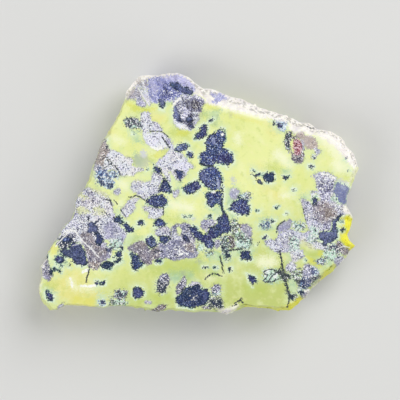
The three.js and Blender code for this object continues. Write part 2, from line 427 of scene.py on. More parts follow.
def put(name, data):
    """Makes an object of some data and puts it in the scene."""
    made = bpy.data.objects.new(name, data)
    bpy.context.scene.collection.objects.link(made)
    return made


slab_mesh = bpy.data.meshes.new("serpentine_stone")
slab_mesh.from_pydata(((points - [*middle, 0]) * MM).tolist(), [], faces)
slab_mesh.shade_smooth()
slab_mesh.set_sharp_from_angle(angle=SHARP)
slab = put("serpentine_stone", slab_mesh)
print("points:", len(points), " triangles:", sum(len(corners) - 2 for corners in faces))

# %% [markdown]
# ## Where each point reads the minerals
#
# The minerals are drawn on the sheet, so every point of the skin needs a place on it. The
# face and the bevel are seen square on, and read the sheet where they lie. The flank can't:
# read straight down, every grain would turn into a long streak. So the sheet is folded over
# the rim, and a point 3 mm down the flank reads 3 mm in from the rim. The back carries on from
# there, and a slow warp that grows with depth makes it a pattern of its own.

# %% Fold the sheet over the rim
WARP, WARP_SIZE = 5.0, 9        # how far the pattern wanders by the back, and over what, mm
WARP_SEEDS = (70, 71)

down = (THICKNESS - fall) * flank_share
flank_read = out * (reach - down)[..., None]
read_xy = np.concatenate([flank_read, flank_read[-1] * back_share[..., None]]).reshape(-1, 2)
depth_down = np.repeat(np.concatenate([flank_share[:, 0], np.ones(BACK_RINGS)]), stations)
skin_points = np.concatenate([flank, back]).reshape(-1, 3)
warp = np.stack([cloud(skin_points, WARP_SIZE, seed) for seed in WARP_SEEDS], -1)
read_xy = read_xy + WARP * depth_down[:, None] * warp
read_xy = np.concatenate([face[:, :2], bevel.reshape(-1, 3)[:, :2], read_xy, np.zeros((1, 2))])
sheet = read_xy / [SQUARE, -SQUARE] + HUB
print("the sheet is read from column", round(sheet[:, 0].min()), "to", round(sheet[:, 0].max()))

# %% [markdown]
# ## Drawing a grain
#
# A grain is a closed loop. What the mesh stores isn't whether a point is inside, which would
# give a jagged edge, but how deep inside it is, negative outside. That number changes evenly
# across the edge, so the material can place the edge anywhere between two mesh points,
# roughen it with noise, or soften it, as each mineral needs.
#
# One row of text is one grain: first its tones, such as how light it is, then a bar, then
# the loop, as a place and the steps from it. A path that starts with ~ and a number is a
# streak or a dot of that half width. Most tones run from 0 to 1, and one that goes past
# either end pushes the look further. A backslash carries a long row on to the next line.

# %% Distances to drawn shapes
REACH = 9.0                     # squares past which a distance is cut off
FAR = 99.0                      # stands for no line near, half widths
TINY = 1e-9                     # keeps a division from meeting zero
LEAST_WEIGHT = 1e-6             # where no grain is near, so that no tone is divided by zero
MOST_DEPTH = 3                  # squares past which a point's weight stops growing
COVERS = (-1, 0.8)              # depths over which a grain takes over from those before it


def read_shapes(text):
    """Rows of 'tones | loop' or 'tones | ~half-width path', as (tones, half width, points)."""
    shapes = []
    for row in text.strip().splitlines():
        tones, path = row.split("|")
        half_width = 0.0
        if "~" in path:
            first, path = path.split(None, 1)
            half_width = float(first[1:])
        shapes.append(([float(tone) for tone in tones.split()], half_width, path_in(path)))
    return shapes


def to_sides(points, starts, ends):
    """Distance from each point to each side. The nearest place on a side is
    start + t * (end - start), with t the point's projection, kept between 0 and 1."""
    side = ends - starts
    away = points[:, None] - starts
    t = np.sum(away * side, -1) / np.maximum(np.sum(side * side, -1), TINY)
    return np.linalg.norm(away - np.clip(t, 0, 1)[..., None] * side, axis=-1)


def depth_in(points, path, half_width):
    """How deep points lie in a shape. For a streak it is the half width less the distance. For
    a loop it is the distance to its sides, positive where a ray to the right crosses the
    loop an odd number of times."""
    if half_width:
        ends = path[1:] if len(path) > 1 else path
        return half_width - to_sides(points, path[:len(ends)], ends).min(1)
    ends = np.roll(path, -1, axis=0)
    distance = to_sides(points, path, ends).min(1)
    x, y = points[:, :1], points[:, 1:]
    rise = np.where(ends[:, 1] == path[:, 1], TINY, ends[:, 1] - path[:, 1])
    meets = path[:, 0] + (y - path[:, 1]) / rise * (ends[:, 0] - path[:, 0])
    crossed = ((path[:, 1] > y) != (ends[:, 1] > y)) & (x < meets)
    return np.where(crossed.sum(1) % 2 == 1, distance, -distance)


def near_to(path):
    """Numbers of the mesh points within reach of a path."""
    return np.flatnonzero(np.all((sheet > path.min(0) - REACH) & (sheet < path.max(0) + REACH), axis=1))


def store(name, values):
    """Keeps one number for each point of the mesh, for the material to read by name."""
    slab_mesh.attributes.new(name, "FLOAT", "POINT").data.foreach_set("value", values.astype(np.float32))


def draw(name, text, tone_names=(), holes=""):
    """Stores a mineral's depth, the deepest of its grains at each point, and its tones. Each
    tone is an average weighted by e to the power of depth, and a grain drawn later covers
    the ones before it. Holes are shapes taken out of it."""
    depth = np.full(len(sheet), -REACH)
    weight_sum = np.full(len(sheet), LEAST_WEIGHT)
    tone_sums = np.zeros((len(tone_names), len(sheet)))
    shapes = read_shapes(text)
    for tones, half_width, path in shapes:
        near = near_to(np.concatenate([path - half_width, path + half_width]))
        inside = np.maximum(depth_in(sheet[near], path, half_width), -REACH)
        depth[near] = np.maximum(depth[near], inside)
        weight = np.exp(np.minimum(inside, MOST_DEPTH))
        uncovered = 1 - smooth_step(*COVERS, inside)
        weight_sum[near] = weight_sum[near] * uncovered + weight
        tone_sums[:, near] = tone_sums[:, near] * uncovered + np.array(tones)[:, None] * weight
    for _, half_width, path in read_shapes(holes):
        hole = np.maximum(depth_in(sheet, path, half_width), -REACH)
        depth = np.minimum(depth, -hole)
    store(name, depth)
    for tone_name, tone_sum in zip(tone_names, tone_sums):
        store(tone_name, tone_sum / weight_sum)
    print(f"{name}: {len(shapes)} shapes over {np.mean(depth > 0):.1%} of the points")


# %% [markdown]
# ## Magnetite
#
# Magnetite is iron oxide. It grew in the serpentine as navy-black clumps with frayed edges,
# from a pinhead to a centimetre across. The first tone runs from -0.6 for dark teal through
# 0 for navy and 1 for slate blue to 1.6 for nearly white. The second is how much the grain
# glitters with smaller ones, painted as glints.

# %% Draw the magnetite
# Two grains on the nose, columns 169 to 194 and rows 81 to 95, paint its hollow dark: partly dark stone,
# partly painted shade in the recess.
draw("magnetite", """
    -.1 .5 | 198.5,128 2.5,-2 3,-2 3,1 0,4 0,5 -2,3 -3,1.5 -5,.5 -3,0 1,-4 2,-2 3,-1.5 0,-2
    -.15 .9 | 205,143 1,-3 2.5,-3.5 2.5,-2 4,-2 2,-2.5 4,-1 2,2 2,2 .5,4 .5,4 -2.5,3 -1,3.5 3.5,1.5 3,2 \
    3,3 1,3 1,3 -1,3 -3,.5 -1,2.5 -1,1.5 -2,-3.5 -4,.5 -3,-.5 -3,-2 -1,2 -3,3 -4,-1.5 -5,0 -3,-3 -1,-4.5 \
    1,-4 3,-2.5 3,-1.5 -.5,-4
    .15 1 | ~4 204,157 5,4
    1 .8 | ~2.2 213,139.5 1,4
    .5 .8 | ~1.5 99,178 4,6
    .5 .8 | ~1.6 108,185 4,1
    .4 .5 | ~1.2 116,176
    0 .3 | ~4 221,157 7,2
    .2 .8 | 204,168 4,-1.5 5,-1 3,1.5 3,3 2,3 1,5 -1,6 -1,5 -3,1 -4,.5 -4,-1.5 -4,-2.5 -2,-3.5 -3,-2 \
    -1,-3 0,-5 2,-2.5
    .5 .3 | ~3 202.5,173 .5,6
    1.4 1 | ~1.5 218,180 .8,8
    .25 .6 | ~.7 221.5,176 .5,10 .8,10 -1.3,6
    -.5 .2 | ~1 221.5,202 .5,6 2,6
    .15 .8 | 205,193 4,-1 5,-1 5,0 4,2 0,3 -1.5,4 0,4 -2.5,1 -2,-1 -2,0 -3,3 -3,-1.5 -2,-1.5 -1,-5
    .4 .9 | 173.5,148.5 1.5,-1.5 3,-2 2,-2 4,-.5 3,1.5 1.5,3 -1,4 -3.5,-.5 -3,2 -4,-1 -3,0
    .2 .8 | 188.5,152 2.5,-.5 2.5,2.5 -1.5,4 -3,0 -1.5,-3
    .25 .3 | 174.5,170 2.5,-1 2,1 4,1 1,3 -1.5,4 -2,3 -2.5,-2.5 -2,-3.5
    .3 .2 | 153.5,167.5 2.5,-1.5 4,2 1.5,3 -1,3 -3.5,-.5 -3,-2.5
    .2 .2 | ~.5 159,172 3,3.5 2,2.5
    0 .6 | 163,180 3,0 3,3 2,5 1,4.5 -6,0 -5,-.5 -3.5,-1.5 2.5,-3.5 1.5,-4
    .1 .6 | 144.5,201.5 3.5,-2.5 5,-4 6,-.5 4,-.5 2,2.5 3,2.5 0,3 -2.5,4 -4.5,1.5 -4,.5 -4,-1.5 -4,-2 \
    -3,-1.5
    .15 .6 | 182,189 2,-3 3,-2 4,-.5 3,-2.5 4,0 2,2 2,4 -2,2.5 -3,.5 -1,2 -3,2 -5,-.5 -4,-1.5
    .25 .7 | 155,220 4,-2 3,1 3,4 1,3 -4,1 -5,0 -4,-1 1,-3
    .2 .3 | 137,222 3,-2 3,1 1,3 -3,2.5 -3,-1.5
    .2 .3 | 113,220 1,-2.5 4.5,-1.5 3.5,2 1,4 -1.5,3 -2.5,-.5 -3,-1.5
    .2 .3 | 121.5,224 4.5,-1.5 4,3.5 4,3 -1.5,3 -4.5,.5 -3,-2.5 -2,-3
    .6 .2 | 88,223 4,-1.5 2,2 3,3.5 2,4 -2,2 -4,-1 -4,1 -2,-2 1,-3
    .3 .2 | ~.8 89,216 -.5,3
    .5 .2 | ~.7 94.5,223.5 2.5,-2.5 2,-1
    .3 .1 | 94.5,233.5 4.5,-1.5 4,4 .5,5 -2.5,4 -4.5,0 -2,-4 1.5,-3
    .42 .15 | 70,246.5 1,-3.5 3,-1.5 4,1.5 3,2 3,3 1,3 1,4 1,4 0,5 -2,1.5 -3,.5 -2,-2 -3,1 -2,-2 -3,-3 \
    -3,-3 -3,0 -4,-3 -1,-4 4,-2 3,1
    .1 1 | 60,238 4,-2.5 5,1.5 3.5,3 -2.5,3.5 -4,-1.5 -3,1.5 -3,-2.5
    .2 .5 | 54.5,257 2.5,-2 4,.5 3,2 -.5,4.5 -2.5,3.5 -3.5,-2 -3,-3.5
    .2 .1 | ~.9 62,262.5 4,-1
    .2 .1 | ~.9 60.5,264 1,2
    .3 .1 | ~1 70,263 -.5,3.5
    .4 .2 | ~1 46.5,255 1,3
    .15 .1 | ~1.5 51,270.5 4,-1.5 5,2
    .2 .2 | ~1.3 50,270 1.5,5
    -.6 .1 | 100,266 3,-3.5 4,-1.5 4,.5 3,2 -2,3.5 -2,2.5 -6,-.5 -3,-1
    -.6 .1 | ~1.4 112,264.5 5,-3 2.5,-1.5
    -.2 .3 | 115.5,254 2.5,-3 4,.5 1,3.5 -2,3 -3,0 -2,-1.5
    .15 .1 | ~1.4 122.5,248.5
    .15 .1 | ~.9 114,257.5
    .5 .3 | 105,250 3,-2 4,0 -1,4 -3,1
    .15 .5 | 130,252 2,-1 2,3 4,1 2,4 1,3 4,.5 -1,2.5 -4,2.5 -2,2.5 -3,.5 -2,-2.5 -2,-4 1,-5 -1,-4
    .35 .5 | 145,240 3,-3.5 4,0 4,2.5 2,3 -1,4 -4,1.5 -2,2.5 -2,-4 -3,-3
    .3 .3 | 158.5,237.5 3.5,-2 6,.5 3,3 -3,3 -3,2 -4.5,-2
    .2 .1 | 154,261 4,-2.5 5,.5 -2,3 -4,1.5
    .3 .1 | ~1.2 155.5,251.5 2,.5
    .3 .2 | 183,234.5 3,-1 2,3.5 1,4 -3,1.5 -2,-3.5 -2,-2
    .2 .4 | 190,227 3,-1 3,3 4,3 5,2.5 3,-2.5 1,-5 4,-.5 4,-3.5 0,-4 2,-2 3,-1 0,-5 2,1.5 3,2.5 1.5,3 \
    1.5,4 1,6 -1,4 -3,2 -3,-1 -4,3 -4,2 -3,1.5 1,3.5 0,4 -2,2.5 -4,-.5 -3,-3 -3,-4 -4,-2.5 -4,-2 -3,-4.5 \
    -2.5,-4.5
    0 .1 | ~1.6 191.5,228 4.5,.5
    .3 1 | ~2.4 209,243 2,3
    .2 .1 | ~2.2 209.5,216.5
    .2 .7 | 237.5,196 2,-1 2,3 3.5,2 3.5,.5 -1,3.5 3,2 -.5,4 -1,4 -2,1.5 -3,-1 -3,.5 -4,-1 -3,-2 -5,-2 \
    -1.5,-1 2.5,-3 2,-4 4,-1 3,-2
    .3 1 | ~2.5 246,206 1,5
    0 .2 | 263.5,175 2.5,-2.7 4,.7 1,-1.5 2.5,.5 1.3,3 -.3,5 -2.5,2.7 -5,-.2 -3,-1.5 -1,-3
    .3 .1 | 251,169.3 3,.2 1,2.3 -3,-.3
    .35 .1 | 251.5,173.8 3.5,1 4,-2.3 2,1.5 -3,3 -4.5,-.7
    .5 .2 | 255.5,180.5 3.5,-1.2 3,2.2 1,2.8 -3,-.3 -2.5,-1.5
    .1 .1 | 282.5,176 7,0 -1.5,2.5 -2.5,2 -2,-1
    .15 .1 | 274,207 2,-1 2,-1.5 1.5,.5 -1,2 -2.5,1.7
    .25 .3 | 276.5,123.5 3.5,-.5 4,1.5 -1,2.5 -4,.5
    .3 .1 | ~.7 273.5,121 .5,4
    .35 .1 | 312,199 2,-1.5 3,1 1,2.5 -2.5,3.5 -2.5,1
    .5 .3 | 316.5,239 2,-4 1.5,-3.5 4,-1 4,1 3,-.5 1.5,-4 -1.5,-3.5 2,-4 3,-1.5 3,-2 2,-3 1,2 -2,3 \
    -2.5,2 -1,4 .5,5 1,4 0,4 -3,3 -4,3 -3,1 -3,2 -3,-1 1,-4 -3,-2
    .9 .2 | ~1 321,236 7,-2.5 7,.5
    .3 .1 | ~1 340.5,222 2,0
    .3 .1 | ~1.5 339.5,216.3 2.2,-1.7
    .3 .1 | ~2.1 342.5,229.7
    .05 .15 | 240.5,251.5 4.5,-1.2 4.5,1 1,3.7 1.5,4.5 -5,.5 -5.5,-.3 -1,-3.7
    .1 .15 | 247.5,274.5 3,1 3.5,1 2.3,2.5 .2,3.5 -2.5,1 -1.2,2.5 -2.3,-3 -2,-3.5
    0 .1 | ~.9 158,290 4,2.3 4,-3.3
    0 .1 | ~.8 158.5,283 -.2,4.5
    .3 .2 | 133.5,288 3.5,-1.2 4,.7 3,3.5 0,4 -2.5,3 -5.5,.5 -3,-3 -.5,-4.5
    -.2 .6 | 46,288.5 2,2 3.5,2 2,4 -1,4 -4,-.5 -2,-4 -1,-4
    .5 .3 | 99.5,301.5 2.5,-1 2.5,1 .5,2.5 -4,1
    -.35 .25 | 176,297 5,-4 2,-4 2,-1.5 5,-1.5 5,-.5 3,-1 3,2 2,3.5 4,0 2.5,1 .5,5 -.5,4 -3.5,4 -6,2.5 \
    -5,1 -5,.5 -6,-1.5 -6,-1 -2.5,-4.5
    .42 .2 | ~3 205,292 0,8
    0 .1 | ~1.4 212,301 4,4
    -.3 .3 | ~1.2 219,302 2,4
    -.5 0 | ~.9 203,266.8 3,.8
    -.5 0 | ~.8 214.5,267.8 1.5,.2
    -.3 .2 | 94,283.5 1.5,-2.5 3,0 1.5,2.5 -3,2
    .1 0 | 99.5,283 1.5,-2 4.5,-.2 -.5,3.2 -3.5,1
    .3 .1 | ~1.7 291,297 .5,2
    -.5 .1 | ~1.4 228.5,255.5
    .15 .1 | ~1 228.5,260
    -.4 .1 | ~1.9 229.8,269.5
    .15 .1 | ~1.1 223,248
    -.5 .1 | ~1.3 226,252.5
    .4 0 | ~1.2 286.5,214
    .3 .1 | ~1.3 294,189.5
    .5 0 | ~1.7 310.5,166.5 1.5,.5
    .6 0 | ~.8 348.7,170.5
    .6 0 | ~1.1 346,158.5
    .3 .1 | ~.9 134,133.5
    .2 .1 | ~.9 146.5,169
    .5 .1 | ~.9 105.5,140.5
    .3 .1 | ~1 107,147
    .6 0 | 262,238.5 2,-2 3,-1 1,2 -3,1.8
    .4 0 | 257,245 1,-2.2 1.5,-1.3 0,2
    .6 0 | ~1.3 260.7,226
    .4 0 | ~1 272,220.8 2,.7
    .5 .1 | ~1.2 210.5,120.5 2.5,-1.5
    .3 0 | ~.7 223.5,129 2,2
    .2 0 | ~.8 190.3,216.5
    .3 0 | ~.7 183.5,216.5 3,.2
    .5 0 | ~1.1 257.5,211
    .2 0 | ~1 305.5,260.5
    .4 .3 | 186.5,117 3.5,-1 4,2.5 -2,3.5 -4.5,1 -1.5,-2.5
    .3 .2 | 188,123.5 4,-.5 1.5,3 -2.5,2.5 -2.5,-1.5
    .65 .6 | 173,105 3,.5 2,4.5 2,6 2,5.5 -4,-.5 -4,-2.5 -1,-6.5
    .45 .3 | 169.5,82.5 3.5,-1.2 5,.7 3,2.5 2,2 5,.5 4,3 1.5,3.5 -3.5,1.5 -5,-1 -4,-1.5 -4,-2 -4,-2 \
    -2.5,-2.5
    -.1 .2 | ~1.5 172.5,85.5 5.5,3.5
    .6 .2 | 158.5,99 5.5,0 1,4 -1.5,5.5 -3,.5 -1,-5
    .2 .1 | ~1 161.5,106.5 .5,2
    .3 .3 | ~1.4 302,281 4,2
    .2 .4 | ~1.2 300,286 4,1.5
    .2 .3 | ~1.2 300.5,292.5 3,-.5
    .7 .2 | 310.5,270 1.5,-1.7 3,1.7 0,3 -2.7,1.5
    1.05 .3 | 334,185 3,-2 5,1 4,1 4,3.5 -2,5.5 -1,4 .5,5 -3.5,2.5 -4,-4 -3,-4.5 -3,-5
    .75 .2 | ~1.6 343,194 2,7
    1.6 .3 | ~1.3 341,186.5 4,2.5
""", ["slate", "glitter"])

# %% [markdown]
# ## Silvery metal ore
#
# The silvery patches are metal ore ground flat by the polishing. Each is a mosaic of grains
# under a millimetre across. The first tone is how light the patch is, the second how brown
# it has tarnished, and the third how coarse its grain is, with less than 0 for a patch that
# looks almost smooth. Windows of clean serpentine lie inside the largest patches, so they
# are drawn as shapes of their own and taken away.

# %% Draw the ore
# The brightest ore streaks in the pocket, columns 173 to 200 and rows 97 to 130, are partly white crystal
# and partly a painted highlight along the pocket's rim.
draw("ore", """
    1 0 .9 | 141,113 3,-1.5 5,.5 2,2 -.5,4 2.5,3 5,2 3,4 2,4 -13,.5 -4,2.5 -3,1 -1,-5 -2.5,-3 .5,-8
    1 0 .3 | ~2.6 145,115 .5,7 -1,7
    .7 .1 1 | 124,120 4,-2 6,-.5 5,1.5 2.5,5 .5,4 -6,.5 -5,-.5 -5,-1.5
    1.2 .05 .3 | 142,131 6,2 4,-1.5 9,.5 5,3 4,6 -2,6 -5,3 -7,0 -6,-3 -4,-4 -3,-5
    .75 0 .3 | 164,134 4,3 4,6 4,7 -4,3 -3,-5 -3,-6
    1.3 .05 .6 | 105,153 7,-3 8,2 6,5 6,1.5 2,3.5 -2.5,3 4.5,2 8,1 2,1 -3,2 -6,1.5 -3,3 -6,.5 -6,0 -4,-3 \
    -5,-3 -8,1 -4,-7 0,-6
    1 .05 .5 | ~4 122,166 8,2
    .66 .95 .9 | 101,142 4,-4 3,8 2,5 -4,7 -3,8 -6,4 -4,-2 3,-10 2,-8
    .75 .1 .8 | 95,163 6,3 4,4 6,2 -5,4 -6,0 -4,-4 -3,-2
    .96 .15 .4 | 171,149 5,2 6,2 3,5 5,5 5,3.5 -5,2.5 -3,4 -2.5,5 -3.5,3 -5,-1 -3,-4 -2,-5 -2,1 2,6 -1,5 \
    -4,-4 -3,-5 -3,-6 -4,-1 -1,-3 3,-3.5 5,-3.5 4,-5
    1 0 .2 | 177,156 5,1 2.5,5 -1.5,6 -4,0 -3,-5
    .9 0 .3 | ~2 160,160 2,6 4,6
    .8 .15 .45 | 131,184 3,-4 6,-.5 6,2 5,-.5 1,-5 2,-4 6,0 4,6 -3,4 -2,6 3,4 -7,2 -5,3 -4,2 -4,-1 -4,-3 \
    -4,-3 -3,-3
    .9 0 .2 | ~3 144,189 6,1
    1.1 0 .4 | ~2.5 157,177 0,7
    .68 0 .15 | 171.5,190 3.5,.5 4,-1.5 0,4 -3,5.5 -2,-.5 -1.5,-3
    .95 0 .6 | 121,209 4,-3 2,-5 4,-3 6,-1 2,2 -3,4 -1,5 -2,4 -3,3 -3,3 -3,-1 -3,-4
    .75 .1 .7 | 113.5,190 3.5,-2 4,1 1,3 -2,3 -4,0 -2.5,-2
    .92 0 .6 | 143,206 6,0 7,2.5 7,-.5 1,5 -4,5 -6,1.5 -5,-.5 -1,-6 -4,-3
    .97 .1 .9 | 74.5,203 3,-7.5 6.5,-7 4,-1.5 7,2 6,2 6,2 3,4 2,6 1,5 1,5 3,6 4,7 5,5 1,3 -1,4 -2,2 -1,5 \
    -5,0 -3,-4 -7,2 -3,4 8,0 -1,7 -3,5 -6,3 -3,4 -1,3 -6,1.5 -5,-3.5 -1.5,-9 -2.5,-11 -5,-5 -8,1 -5,-7 \
    -8,4 -4,2 5,-6 3,-7 5,-6 5.5,-5 1.5,-6
    .58 0 -.1 | 103,224 9,-2 8,5 6,6 -2,7 -8,0 -10,0 -4,-8
    .85 0 .2 | ~4 92,217 4,0
    .48 .45 .15 | 79,235 5,-4.5 8,1.5 5,13 7,2 6,4 -1,7 -6,4 -3,4 -1,3 -6,1.5 -5,-3.5 -1.5,-9 -2.5,-11
    .4 .6 .15 | 80,234 10,-1 6,11 8,3 4,7 -6,8 -10,0 -6,-12
    .5 .85 .5 | 88,262 9,-2 4,4 -3,5 -6,0
    1.1 0 .8 | 84,201 8,4 12,-4 6,0 3,5 -3,3 -6,-3
    .7 .3 1 | 76,206 4,-7 10,-3 8,2 -6,6 -8,2 -4,7 -4,3
    .6 .2 1 | 84,190 6,-3 8,4 -4,5 -10,0
    .85 .2 1 | 60,235 4,-6 6,-3 7,3 2,6 -5,3 -6,-2
    .4 .6 .05 | 127,247 4,-2 6,-4 6,-1 3,3 4,7 8,-6 4,8 1,5 -6,2 -4,1.5 -2,3.5 -4,2 -3,-3 -4,-4 -3,-5 \
    -4,-2 -4,-1
    .72 .05 .4 | 154,230 6,-3 6,-1 4,2 2,5 -1,5 -4,-2 -7,0 -5,-1
    .42 .12 .35 | 157,243 6,-1 5,-.5 3,-4.5 0,-7 0,-4 6,-2 7,-1 7,1.5 1,4.5 2,7 2,5 0,5 2,5 1,3 -2,3 \
    -5,2 -6,-.5 -6,1.5 -8,0 -6,-2 -3,1 -3,-2 -1,-8
    .42 .65 .1 | 184,243 7,-1 4,5 -1,7 -6,-2 -4,-3
    .85 0 .7 | 173,236 5,-2.5 5,2 0,4 -7,1
    .9 0 .9 | ~1.6 178,250 2.5,4
    .55 .2 .2 | 201,222 3,-3 5,0 5,1 3,2 -3,4 -5,2 -1,5 -4,-2 -3,-4
    .85 0 .2 | ~1.6 205.5,229 1,2
    .55 .3 .3 | 214.5,240 4.5,-2 2.5,3 -1.5,5 -3,3.5 -3,-2.5
    .66 0 -.2 | 229,192 2.5,-4 4.5,-.5 3,3 -.5,4.5 -3,4.5 -4,-.5 -2,-3
    .52 .4 .3 | 239,226 2,-2 5,0 4,1 2,4 0,5 0,6 -4,-.5 -4,-3 -4,-4.5
    -.1 1 .5 | 227,236 4,-1.5 3,2.5 2,7 -3,5.5 -3,-.5 -1.5,-6
    .4 .6 .9 | 233,239 2,0 1,6 -2,3
    .3 .9 .2 | 238,225 3,-1.5 .5,4 -3,1
    .55 .1 -.4 | 277,229 3,-5 4,-3 5,-2 3.5,1.5 -.5,5 -2,2.5 -4,2.5 -5,2.5 -3,3
    .73 0 .5 | 264,240 4,-.5 7,.5 3,-5 5,-4 8,-2.5 6,2.5 7,2 5,-3.5 4,2.5 0,6 -5,5 -5,-1.5 -3,2.5 -1,5 \
    -3,3 -4,0 -8,1 -6,0 -5,-2 -4.5,-3.5 -2.5,-3.5
    .95 0 .6 | ~4 271,243 5,4
    .77 0 .65 | 311,176 5,-3 5,-1.5 7,.5 5,3.5 4,2.5 -2,4 -1,6 .5,5 2,4 1.5,6 5,1 3,3 2,4 2,2.5 -5,1.5 \
    -4,1 -3,0 -4,2.5 -2.5,3.5 -.5,8 -5,1 -5,0 -4,4 -4,0 -3,-4 -2,-4 -2,-5 -1.5,-6 -1.5,-6 -1.5,-6 \
    -1.5,-5.5 4,.5 5,2 3,4 5,0 2,-3 1,-3.5 -1.5,-5.5 -7.5,2 0,-4 7,-1 -2,-4 -.5,-6
    .48 .1 1 | 318,181 6,-1 10,.5 0,9.5 -6,3 -9,-3
    .55 .55 .3 | 312,204 6,-4 8,0 7,3 5,7 0,6 -5,6 -7,4 -9,-3 -5,-9
    .5 .75 .15 | 318,206 4,-3 6,0 5,4 3,5 -1,5 -4,4 -6,0 -5,-5
    .34 1 .1 | 325,210 4,-2 4,4 0,4 -4,2 -4,-4
    .8 0 .6 | 306,245 4,-3 4,-2 6,3 7,3 4,2 -4,4 -7,-2.5 -7,0 -5,-1.5
    1.1 .3 .95 | 319.5,173 5.5,-1.5 6,2 6,4.5 -3,2 -12,-.5
    .95 .2 .8 | ~1.6 336,208 6,0 4,4
    .75 0 .5 | 290,251 7,-1.5 6,.5 1.5,6 -3.5,3 -3,3 -5,1 -3,-6
    .9 0 .6 | 284.5,267 2.5,-3 3,-3 4,1 3,3 0,5 -6,1.5 -5,-1
    .62 0 .9 | 303,266 4,-3 5,2 5,3 3,4 -2,6 -7,6 -8,3 -4,-5 3,-7
    .75 0 1 | 315,261 3,-2 4,-1 4,2 0,3 -4,2 -4,-1
    .75 .1 1 | 328,245 5,-1.5 5,3.5 3,5 -2,4 -5,-4 -5,-3
    .6 .4 .8 | 302,291 7,-2 2,4 -5,5 -4,0
    .7 .1 .5 | 333,258 5,-2.5 6,1 1.5,3.5 -3.5,4 -4,3 -3,-3 -2,-3
    .4 .7 .5 | 334,244 4,-3.5 4,2.5 4,4.5 4,3 0,3.5 -5,2 -5,-3 -3,-4
    .9 0 .5 | 163,276.5 3,-1 3,1.5 0,4 -3.5,1.5 -2.5,-2.5
    .28 0 .9 | 159,277 3,-3 4,-.5 3,.5 1.5,4 -1.5,5 -3,5 -2,4 -4,1.5 -3,-2.5 1,-7
    .36 .35 .9 | 183,274.5 3,2.5 1,5 -1,4 -3,4 -2,3 -5,3.5 0,-6.5 1,-5 3,-4 2,-3.5
    .75 0 .15 | 189,284.5 3,-3 4,-.5 4,2 3,3.5 -1,2.5 -4,-3.5 -4,1 -4,.3
    .4 .1 .8 | 211,287 3,-3 4,0 3.5,2.5 -.5,4.5 -3,4 -5,.5 -2,-4.5
    .25 .9 .8 | 151,310 6,-4 5,-2 5,0 -1,4.5 -6,3 -7,0
    .6 .4 .5 | 220,311 6,-1.5 5,.5 -2,3 -4,2 -5,-1.5
    .25 .5 .6 | 201,306 8,-.5 1,3 -7,1
    .6 .3 .3 | 57,307 3,-3 4,-1 -1,3.5 -5,3
    .5 .1 1 | 114,292 4,-2 5,0 4.5,1 .5,4 -3,3 -6,1 -4.5,-2
    .32 .15 .8 | 174,104 2,-4 5,-3 7,-1 7,1 5,0 4,2 2,3 -3,4 -1,5 -3,3 0,5 -2,4 -4,5 -3,2.5 -5,-.5 -5,-1 \
    -4,-3 -3,-4 0,-10
    1.4 0 .1 | 173.5,119 4.5,3 4,.5 4,1.5 2,4 2,2.5 -5,-.5 -5,-1 -4,-3 -3,-4
    1.1 0 .3 | 192.5,117 6.5,-1 -1,5 -4,5 -1.5,-3
    1.5 0 .1 | ~1.2 187,111.5 6,1.5 6,0
    1.5 0 .1 | ~1.1 181.5,112 6.5,4.5
    1.3 0 .2 | ~1 197,106 3,-5
    1.2 0 .2 | ~.8 186,106 3,-3
    .9 0 .5 | ~.9 175.5,104 2.5,-3.5 5,-2.5 7,-1
    .85 .05 .9 | 178,108 8,-2 4,6 -4,5 -1,5 -6,-1 -2,-6
    0 .5 .6 | 191,100 5,-1 4,3 0,6 -5,2 -5,-3
    .8 .1 .8 | 172,104 2,-5 4,-3 6,-2.5 6,1.5 6,-1.5 4,2.5 4,3 -6,0 -8,-1 -8,1 -6,4
    .95 .05 .3 | 129,88 4,-6 5,-4.5 9,-1 1,9.5 1,4 -2,1 -4,-3 -4,-1 -6,1
    .66 .5 0 | 126.5,99.5 1,-5.5 5,-5.5 6.5,-.5 2,4.5 2,4.5 -4,2.5 -6,0
    .5 .5 .2 | ~1.8 145.5,81 .5,4.5
    .5 .2 .3 | ~.9 138,83.3
    .62 .15 .4 | 135.5,99.5 4.5,-1 4,1.5 3,4 -1.5,2.5 -4.5,.5 -4,-2.5
    .98 0 .3 | 138.5,89 3,-1.5 4.5,.5 3,7 2,8 -2,2.5 -2.5,-3 -3.5,-5.5
    .5 .4 .8 | 41,266 4,-7 3,-2 .5,5 1.5,6 3,4 -1,6 -2,3 -4,-1.5 -4,-2.5
    .4 .1 .1 | ~1.8 45.5,277 2.5,.5
    .75 0 .5 | ~2 147,302.5 2.5,0
    .8 0 .4 | 275.5,119 7.5,-2.5 6,2.5 -1.5,5 -1.5,6 -4,1 -4,-2.5 -2,-5.5
    .7 .4 .6 | 299,134 4,3 2,6 0,7 -3,2 -2,-8
    .82 .85 -.35 | 294.5,137.5 2.5,-5 4,-2 3,1.5 1,3.5 5,-.5 4,2 3.5,5 .5,6 -2,3 -5,-1.5 -5,-.5 -2.5,-5 \
    -1.5,-4.5
    .8 .1 .9 | 313,148 5,0 3,3 -2,4 -4,-1
    .6 .5 .5 | ~1.8 312.5,156.5 2.5,0
    .3 .6 1 | 291,150 5,4.5 7,-5.5 1.5,8 -2,6 -6.5,.5 -4.5,-3.5
    .2 .3 1 | 286,148 3,5 2,-3 -1,-9 2,-8 -2,-2 -4,5 -1.5,6
    .15 .9 .4 | ~1.8 292.5,137.5 4.5,1
    .15 .2 .9 | 56,243 4,-4 6,-5 8,-1 3,4 -7,6 -2,5 -6,2 -3,-3
""", ["ore_light", "ore_brown", "ore_coarse"], holes="""
    | 176,228 3,-1.5 2.5,3.5 -.5,5 -3,.5
    | ~1.4 111,240 7,3 2,5
    | ~1.2 104,241 4,0
    | ~1.4 225,240 4,6 -1,4
""")
